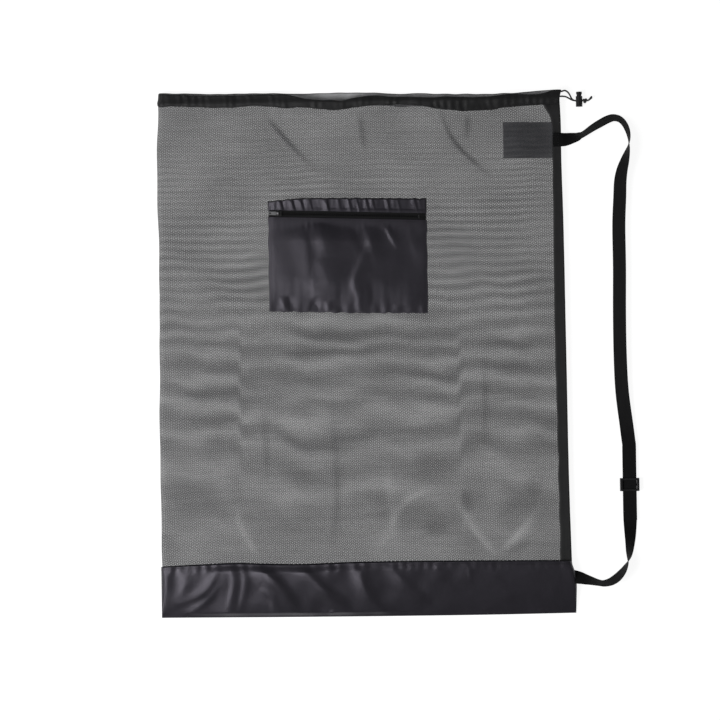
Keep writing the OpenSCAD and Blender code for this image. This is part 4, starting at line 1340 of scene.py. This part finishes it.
def zip_line(x):
    """Y of the zip's middle line."""
    return ZIP_PIN[1] + (x - ZIP_PIN[0]) * ZIP_AXIS[1] / ZIP_AXIS[0]


# Half the gap between the pocket's two pieces, the height that they are sewn at and the top of the zip's tape
ZIP_HALF_GAP = 4.75
SEWN_Z = LOFT - 0.75
TAPE_TOP = node_box("zip_tape_upper")[1][2]
# The zip's tapes: inside the pocket's sides, out from the zip's middle line, width and thickness
TAPE_INSET, TAPE_REACH, TAPE_WIDTH, TAPE_THICKNESS = 0.8, 7.1, 7.0, 0.45
# The zip's teeth: out from the middle line, width and length of one, and how square it stays
TOOTH_OUT, TOOTH_WIDTH, TOOTH_LENGTH, TOOTH_CREASE = 0.75, 1.15, 2.9, 0.25


def above_tape(z, away, sides, reach):
    """Keeps a pocket edge above the zip's tape, by its distance from the edge and from the sides."""
    edge_z = TAPE_TOP + 0.75 - 1.0 * smooth_step(9, 0, sides)
    share = smooth_step(reach, 3, away)
    raised = (z + edge_z + np.hypot(z - edge_z, 0.8)) / 2
    return z + share * (raised - z)


def laid_cloth(name, node, grid, width, height, finish="shiny_nylon"):
    """Turns a grid into a piece of nylon cloth that lies on the mesh."""
    uv = grid_uv(width, height, *grid.shape[:2])
    piece = cloth_piece(name, grid, uv, material_for(finish), bpy.context.scene.sack_sizes.cloth / MM)
    fit(piece, "bag", "nylon", node)


class SACK_OT_pocket(bpy.types.Operator):
    """Make the zip pocket: a panel with soft folds and a gathered strip above the zip"""

    bl_idname = "sack.pocket"
    bl_label = "Pocket"

    def execute(self, context):
        self.panel()
        self.strip()
        return {"FINISHED"}

    def panel(self):
        """The large panel below the zip."""
        rows, cols = 170, 230
        left, right = PANEL_LOW[0], PANEL_HIGH[0]
        x, share = np.meshgrid(np.linspace(left, right, cols), np.linspace(0, 1, rows))
        foot = along_line(POCKET_FOOT, x) + 0.7 * waves(x, 0 * x, 61, 17, (0, 0.1))
        top = zip_line(x) - ZIP_HALF_GAP
        y = foot + (top - foot) * share
        sides = np.minimum(x - left, right - x)
        edge = np.minimum(sides, y - foot)
        dome = smooth_step(-8, 9, edge)
        at_zip = smooth_step(top - 16, top, y)
        # It puckers along its foot and along the zip
        puckers = (0.42 * waves(x, y, 62, 15, (-0.2, 0.2)) * np.exp(-((y - foot) / 14) ** 2)
                   + 0.55 * waves(x, y, 63, 11, (-0.15, 0.15)) * np.exp(-((top - y) / 12) ** 2))
        folds = fold_height(x, y, PANEL_FOLDS) + 0.3 * waves(x, y, 64, 60, (-0.5, 0.5))
        # It stands up to the right of its left edge, then falls slowly
        bulge = 0.1 * np.minimum(x - left, 64) * smooth_step(right + 30, left + 64, x)
        bulge = bulge * smooth_step(0, 50, y - foot) * smooth_step(0, 36, top - y)
        lift = 0.7 + bulge + (folds + puckers) * (1 - 0.75 * at_zip)
        z = SEWN_Z + dome * np.maximum(lift, 0.2) + 0.25
        z = above_tape(z, top - y, sides, 30)
        wave_x = 0.35 * waves(y, 0 * y, 65, 40, (0, 0.1)) * np.exp(-(sides / 10) ** 2)
        grid = grid_of(x + wave_x, y, z)
        laid_cloth("pocket_panel_cloth", "pocket_panel", grid, right - left, float((top - foot).mean()))
        sew(grid, rows=(5, rows - 5), cols=(4, cols - 5))

    def strip(self):
        """The narrow strip above the zip, gathered towards the right."""
        rows, cols = 30, 300
        left, right = STRIP_LOW[0], STRIP_HIGH[0]
        x, share = np.meshgrid(np.linspace(left, right, cols), np.linspace(0, 1, rows))
        low = zip_line(x) + ZIP_HALF_GAP
        top = along_line(POCKET_TOP, x) + 0.5 * waves(x, 0 * x, 71, 15, (0, 0.1))
        y = low + (top - low) * share
        sides = np.minimum(x - left, right - x)
        dome = smooth_step(-1, 2.2, np.minimum(sides, top - y))
        gathers = 0.25 * waves(x, 0.4 * y, 72, 12, (-0.15, 0.15))
        # Each gather climbs slowly from the left and drops steeply at its right
        slant = x + 0.25 * (y - low)
        for start, end, height in STRIP_GATHERS:
            climb = np.clip((slant - start) / (end - start), 0, 1)
            gathers = gathers + height * climb * smooth_step(end + 3.5, end - 0.5, slant)
        gathers = gathers * smooth_step(1.15, 0.9, share) * (0.6 + 0.4 * share)
        # The strip rises from the zip to its top edge, mostly at its left end
        climb = (0.17 - 0.15 * smooth_step(left + 50, right - 60, x)) * (y - low)
        z = SEWN_Z + 0.25 + dome * np.maximum(1.6 + climb + gathers, 0.2)
        z = above_tape(np.minimum(z, STRIP_HIGH[2] + 3), y - low, sides, 6)
        grid = grid_of(x, y, z)
        laid_cloth("pocket_strip_cloth", "pocket_strip", grid, right - left, float((top - low).mean()))
        sew(grid, rows=(4, rows - 4))


class SACK_OT_patch(bpy.types.Operator):
    """Make the patch behind the mesh that spreads the strap's pull"""

    bl_idname = "sack.patch"
    bl_label = "Strap patch"

    def execute(self, context):
        rows, cols = 60, 80
        x, y = np.meshgrid(np.linspace(PATCH_LOW[0], PATCH_HIGH[0] + 10, cols),
                           np.linspace(PATCH_LOW[1], PATCH_HIGH[1], rows))
        straight_x = flat_x(x, y)
        near_seam = smooth_step(SEAM_X - 50, SEAM_X - 16, straight_x)
        depth = 1.0 + 0.5 * smooth_step(SEAM_X - 70, SEAM_X - 50, straight_x) - 1.05 * near_seam
        z = front_height(straight_x) - depth + 0.18 * waves(x, y, 81, 12, (1.4, 1.74)) * (1 - near_seam)
        width, height = float(x[0, -1] - x[0, 0]), float(y[-1, 0] - y[0, 0])
        laid_cloth("strap_patch_cloth", "strap_patch", grid_of(x, y, z), width, height, "patch_cloth")
        return {"FINISHED"}


class SACK_OT_zip(bpy.types.Operator):
    """Make the zip: two tapes, two rows of teeth, stops, the runner and its pull"""

    bl_idname = "sack.zip"
    bl_label = "Zip"

    def execute(self, context):
        pitch = context.scene.sack_sizes.tooth_pitch / MM
        for side, s, inner in (("upper", 1.0, 0.1), ("lower", -1.0, -0.7)):
            self.tape(side, s, inner)
            self.teeth(side, s, pitch)
        dress("zip_stops", "zip_stop_blocks", 0.15, "zip_enamel", "bag", "zip_metal")
        dress("zip_runner", "zip_runner_shell", 0.22, "zip_enamel", "zip_runner", "zip_metal")
        dress("zip_pull", "zip_pull_tab", 0.2, "pull_metal", "zip_pull", "zip_metal")
        return {"FINISHED"}

    def tape(self, side, s, inner):
        """One woven tape, sewn under the pocket's edge. The lower one runs on under the upper one."""
        rows, cols = 10, 160
        left, right = PANEL_LOW[0] + TAPE_INSET, PANEL_HIGH[0] - TAPE_INSET
        x, out = np.meshgrid(np.linspace(left, right, cols), np.linspace(0, 1, rows))
        y = zip_line(x) + s * (inner + out * (TAPE_REACH - inner))
        ends = smooth_step(9, 0, np.minimum(x - left, right - x))
        z = node_box(f"zip_tape_{side}")[1][2] - 0.05 + 0.1 * waves(x, y, 91, 30) - 1.1 * ends
        grid = grid_of(x, y, z)
        if s < 0:
            grid[:, :, 2] -= 0.6 * smooth_step(0.35, 0.1, out)
            grid = grid[::-1]
        tape = cloth_piece(f"zip_tape_cloth_{side}", grid, grid_uv(right - left, TAPE_WIDTH, rows, cols),
                           material_for("zip_cloth"), TAPE_THICKNESS)
        fit(tape, "bag", "zip_tape", f"zip_tape_{side}")

    def teeth(self, side, s, pitch):
        """One row of moulded teeth, repeated along the tape's edge by Geometry Nodes."""
        low, high = node_box(f"zip_teeth_{side}")
        start = low[0] + (pitch / 2 if s > 0 else 0)
        x = np.array([start, high[0] - pitch / 2])
        line = np.stack([x, zip_line(x) + s * TOOTH_OUT, np.full(2, (low[2] + high[2]) / 2)], axis=1)
        size = (TOOTH_WIDTH, TOOTH_LENGTH, high[2] - low[2])
        row = repeat_along(f"zip_teeth_row_{side}", [line], "tooth_plastic", pitch, size, TOOTH_CREASE)
        fit(row, "bag", "zip_teeth", f"zip_teeth_{side}")


# Strap and slider

# Height of the lower web in the slider, the gap between the webs there and the gap over the floor
LAP_Z, LAP_GAP, FLOOR_GAP = 3.05, 0.2, 0.3
# Height of the sewn upper end over the seam
SEWN_RISE = 3.2


class SACK_OT_strap(bpy.types.Operator):
    """Make the shoulder strap: two lengths of webbing sewn to the sack and lapped in the slider"""

    bl_idname = "sack.strap"
    bl_label = "Strap"

    def execute(self, context):
        sizes = context.scene.sack_sizes
        self.width, self.thick = sizes.web_width / MM, sizes.web_thickness / MM
        low_web, high_web = LAP_Z, LAP_Z + self.thick + LAP_GAP
        middle = SLIDER_MIDDLE
        upper = [(SEAM_X - 15, UPPER_Y, HALF + SEWN_RISE, 0), (SEAM_X - 7, UPPER_Y, HALF + 3.1, 0),
                 (SEAM_X, UPPER_Y + 0.1, HALF + 2.2, 6), (SEAM_X + 5, UPPER_Y + 0.7, HALF + 0.6, 17)]
        upper += self.bend(UPPER_BEND, UPPER_Y)
        run_top, run_low = UPPER_Y + UPPER_BEND[-1][1], middle[1] + 75
        for share, out, tilt in LONG_RUN:
            upper.append((HINGE[0] + out, run_top + (run_low - run_top) * share, self.lie(tilt), tilt))
        upper += [(HINGE[0] + 76.8, run_low + 12, self.lie(168), 168),
                  (middle[0] - 1, middle[1] + 66, high_web + 0.1, 178)]
        upper += [(middle[0], middle[1] + d, high_web, 180) for d in (57, 40, 0, -40, -52)]
        lower = [(SEAM_X - 4, LOWER_Y, HALF, 0), (SEAM_X + 3, LOWER_Y - 0.2, HALF, 6)]
        lower += self.bend(LOWER_BEND, LOWER_Y)
        lower += [(middle[0], middle[1] - 50, low_web + 0.2, 174)]
        lower += [(middle[0], middle[1] + d, low_web, 180) for d in (-38, -20, 0, 30, 56)]
        for name, route, y in (("upper", upper, UPPER_Y), ("lower", lower, LOWER_Y)):
            self.web(name, *self.ribbon(route), y)
        self.sew_end(UPPER_Y)
        return {"FINISHED"}

    def lie(self, tilt):
        """Height of the web's middle when its lower edge lies on the floor."""
        tilt = math.radians(tilt)
        return FLOOR_GAP + abs(math.sin(tilt)) * self.width / 2 + abs(math.cos(tilt)) * self.thick / 2

    def bend(self, points, y):
        """A listed bend beside a sewn end."""
        return [(HINGE[0] + out, y + along, HALF if tilt < 50 else self.lie(tilt), tilt)
                for out, along, tilt in points]

    def ribbon(self, route):
        """Points of a web, rows along it and columns round its section, and how far along each row is."""
        path = smooth_route(route, 7)
        run = run_along(path[:, :3])
        keep = np.concatenate([[True], np.diff(run) > 1e-6])
        path, run = path[keep], run[keep]
        ahead = unit(np.gradient(path[:, :3], axis=0))
        side = unit(np.cross(ahead, (0, 0, 1.0)))
        rise = np.cross(side, ahead)
        tilt = np.radians(path[:, 3:4])
        across = side * np.cos(tilt) + rise * np.sin(tilt)
        through = np.cross(across, ahead)
        # Half of the section, with thicker selvedges
        w, t = self.width / 2, self.thick / 2
        half = [(-w, 0), (-w + 0.2, 0.75 * t), (-w + 0.9, t), (-w + 1.8, 0.86 * t), (-w / 2, 0.84 * t),
                (0, 0.84 * t), (w / 2, 0.84 * t), (w - 1.8, 0.86 * t), (w - 0.9, t), (w - 0.2, 0.75 * t)]
        section = half + [(-a, -b) for a, b in half]
        return np.stack([path[:, :3] + across * a + through * b for a, b in section], axis=1), run

    def web(self, name, grid, run, y):
        """One length of webbing."""
        uv = grid_of(girth_of(grid), run[:, None]).reshape(-1, 2) * MM
        index = np.arange(grid[:, :, 0].size).reshape(grid.shape[:2])
        faces = quads(closed(index)).tolist() + [index[0, ::-1].tolist(), index[-1].tolist()]
        web = new_object(f"strap_web_{name}", grid.reshape(-1, 3), faces, material_for("strap_webbing"))
        set_uv(web.data, uv)
        recalculate(web.data)
        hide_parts(f"strap_{name}_web", f"strap_end_{name}")
        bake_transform(web)

    def sew_end(self, y):
        """A box of stitches with a cross, where the strap is sewn on the binding."""
        top = HALF + SEWN_RISE + self.thick / 2 + 0.1
        x0, x1 = SEAM_X - 13.5, SEAM_X - 6.5
        y0, y1 = y - self.width / 2 + 2, y + self.width / 2 - 2
        a, b, c, d = (x0, y0, top), (x1, y0, top), (x1, y1, top), (x0, y1, top)
        for line in ((a, b), (b, c), (c, d), (d, a), (a, c), (d, b)):
            STITCH_LINES.append(np.array(line))


class SACK_OT_slider(bpy.types.Operator):
    """Dress the strap slider: a moulded frame with bars that grip the two webs"""

    bl_idname = "sack.slider"
    bl_label = "Strap slider"

    def execute(self, context):
        dress("strap_slider", "strap_slider_frame", 0.7, "moulded_plastic", "strap_slider", "slider_plastic")
        return {"FINISHED"}


class SACK_OT_lock(bpy.types.Operator):
    """Dress the cord lock: its barrel, its sprung plunger and the spring"""

    bl_idname = "sack.lock"
    bl_label = "Cord lock"

    def execute(self, context):
        dress("lock_barrel", "lock_barrel_shell", 0.45, "moulded_plastic", "cord_lock", "lock_plastic")
        dress("lock_plunger", "lock_plunger_button", 0.6, "moulded_plastic", "lock_plunger", "lock_plastic")
        low, high = node_box("lock_spring")
        wire = 0.35
        coil_r = (high[0] - low[0]) / 2 - wire
        turn = np.linspace(0, 6 * math.pi, 90)
        path = np.stack([(low[0] + high[0]) / 2 + coil_r * np.cos(turn),
                         np.linspace(low[1] + wire, high[1] - wire, 90),
                         (low[2] + high[2]) / 2 + coil_r * np.sin(turn)], axis=1)
        spring = tube("lock_spring_coil", path, wire, material_for("coil_steel"), 8)
        fit(spring, "cord_lock", "spring_steel", "lock_spring")
        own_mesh(spring)
        return {"FINISHED"}


# What repeats

def repeat_tree(name, material):
    """A Geometry Nodes tree that sets a small rounded block along a curve at even steps."""
    tree = bpy.data.node_groups.new(name, "GeometryNodeTree")
    tree.interface.new_socket("Geometry", in_out="INPUT", socket_type="NodeSocketGeometry")
    for label, kind in (("Step", "NodeSocketFloat"), ("Size", "NodeSocketVector"),
                        ("Crease", "NodeSocketFloat")):
        tree.interface.new_socket(label, in_out="INPUT", socket_type=kind)
    tree.interface.new_socket("Geometry", in_out="OUTPUT", socket_type="NodeSocketGeometry")
    g = Graph(tree)
    given = g.add("NodeGroupInput").outputs
    curve = g.add("GeometryNodeMeshToCurve", {"Mesh": given["Geometry"]}).outputs["Curve"]
    points = g.add("GeometryNodeCurveToPoints", {"Curve": curve, "Length": given["Step"]}, mode="LENGTH")
    block = g.add("GeometryNodeMeshCube", {"Size": (1, 1, 1)}).outputs["Mesh"]
    round_block = g.add("GeometryNodeSubdivisionSurface", {
        "Mesh": block, "Level": 1, "Edge Crease": given["Crease"]}).outputs["Mesh"]
    placed = g.add("GeometryNodeInstanceOnPoints", {
        "Points": points.outputs["Points"], "Instance": round_block,
        "Rotation": points.outputs["Rotation"], "Scale": given["Size"]}).outputs["Instances"]
    solid = g.add("GeometryNodeRealizeInstances", {"Geometry": placed}).outputs["Geometry"]
    smooth = g.add("GeometryNodeSetShadeSmooth", {"Geometry": solid}).outputs["Geometry"]
    done = g.add("GeometryNodeSetMaterial", {"Geometry": smooth, "Material": material}).outputs["Geometry"]
    g.put(g.add("NodeGroupOutput").inputs["Geometry"], done)
    return tree


def repeat_along(name, lines, finish, step, size, crease):
    """Small blocks repeated along lines of points, turned into one plain mesh."""
    verts, edges = [], []
    for line in lines:
        first = len(verts)
        verts.extend(line)
        edges.extend((first + i, first + i + 1) for i in range(len(line) - 1))
    guide_mesh = bpy.data.meshes.new(name + "_line")
    guide_mesh.from_pydata((np.array(verts) * MM).tolist(), edges, [])
    guide = place(name + "_line", guide_mesh)
    modifier = guide.modifiers.new("repeat", "NODES")
    modifier.node_group = repeat_tree(name + "_tree", material_for(finish))
    values = {"Step": step * MM, "Size": [v * MM for v in size], "Crease": crease}
    for socket in modifier.node_group.interface.items_tree:
        if socket.in_out == "INPUT" and socket.name in values:
            modifier[socket.identifier] = values[socket.name]
    graph = bpy.context.evaluated_depsgraph_get()
    mesh = bpy.data.meshes.new_from_object(guide.evaluated_get(graph))
    bpy.data.objects.remove(guide)
    mesh.name = name
    if not len(mesh.polygons):
        raise RuntimeError(f"{name}: nothing was repeated along its lines")
    return place(name, mesh)


class SACK_OT_stitching(bpy.types.Operator):
    """Sew the pieces: rows of stitches along the hem, binding, base, pocket and strap end"""

    bl_idname = "sack.stitching"
    bl_label = "Stitching"

    def execute(self, context):
        sizes = context.scene.sack_sizes
        thread = sizes.thread / MM
        size = (thread, thread, sizes.stitch / MM)
        rows = repeat_along("bag_stitches", STITCH_LINES, "sewing_thread", sizes.stitch_step / MM, size, 0.0)
        fit(rows, "bag", "tape")
        return {"FINISHED"}


class SACK_PT_sidebar(bpy.types.Panel):
    """Buttons and sizes of the sack"""

    bl_idname = "SACK_PT_sidebar"
    bl_label = "Mesh sack"
    bl_space_type = "VIEW_3D"
    bl_region_type = "UI"
    bl_category = "Sack"

    def draw(self, context):
        layout = self.layout
        for group in (context.scene.sack_sizes, context.scene.sack_colours):
            for key in group.__annotations__:
                layout.prop(group, key)
        for operator in OPERATORS:
            layout.operator(operator.bl_idname)


OPERATORS = (SACK_OT_stage, SACK_OT_drawcord, SACK_OT_lock, SACK_OT_mesh, SACK_OT_hem, SACK_OT_binding,
             SACK_OT_base, SACK_OT_pocket, SACK_OT_patch, SACK_OT_zip, SACK_OT_strap, SACK_OT_slider,
             SACK_OT_stitching)
CLASSES = (SackSizes, SackColours, *OPERATORS, SACK_PT_sidebar)


def register():
    for item in CLASSES:
        bpy.utils.register_class(item)
    bpy.types.Scene.sack_sizes = bpy.props.PointerProperty(type=SackSizes)
    bpy.types.Scene.sack_colours = bpy.props.PointerProperty(type=SackColours)


def unregister():
    del bpy.types.Scene.sack_colours
    del bpy.types.Scene.sack_sizes
    for item in reversed(CLASSES):
        bpy.utils.unregister_class(item)


def main():
    register()
    for operator in OPERATORS:
        area, name = operator.bl_idname.split(".")
        if getattr(getattr(bpy.ops, area), name)() != {"FINISHED"}:
            raise RuntimeError(f"{operator.bl_label} did not finish")


if __name__ == "__main__":
    main()
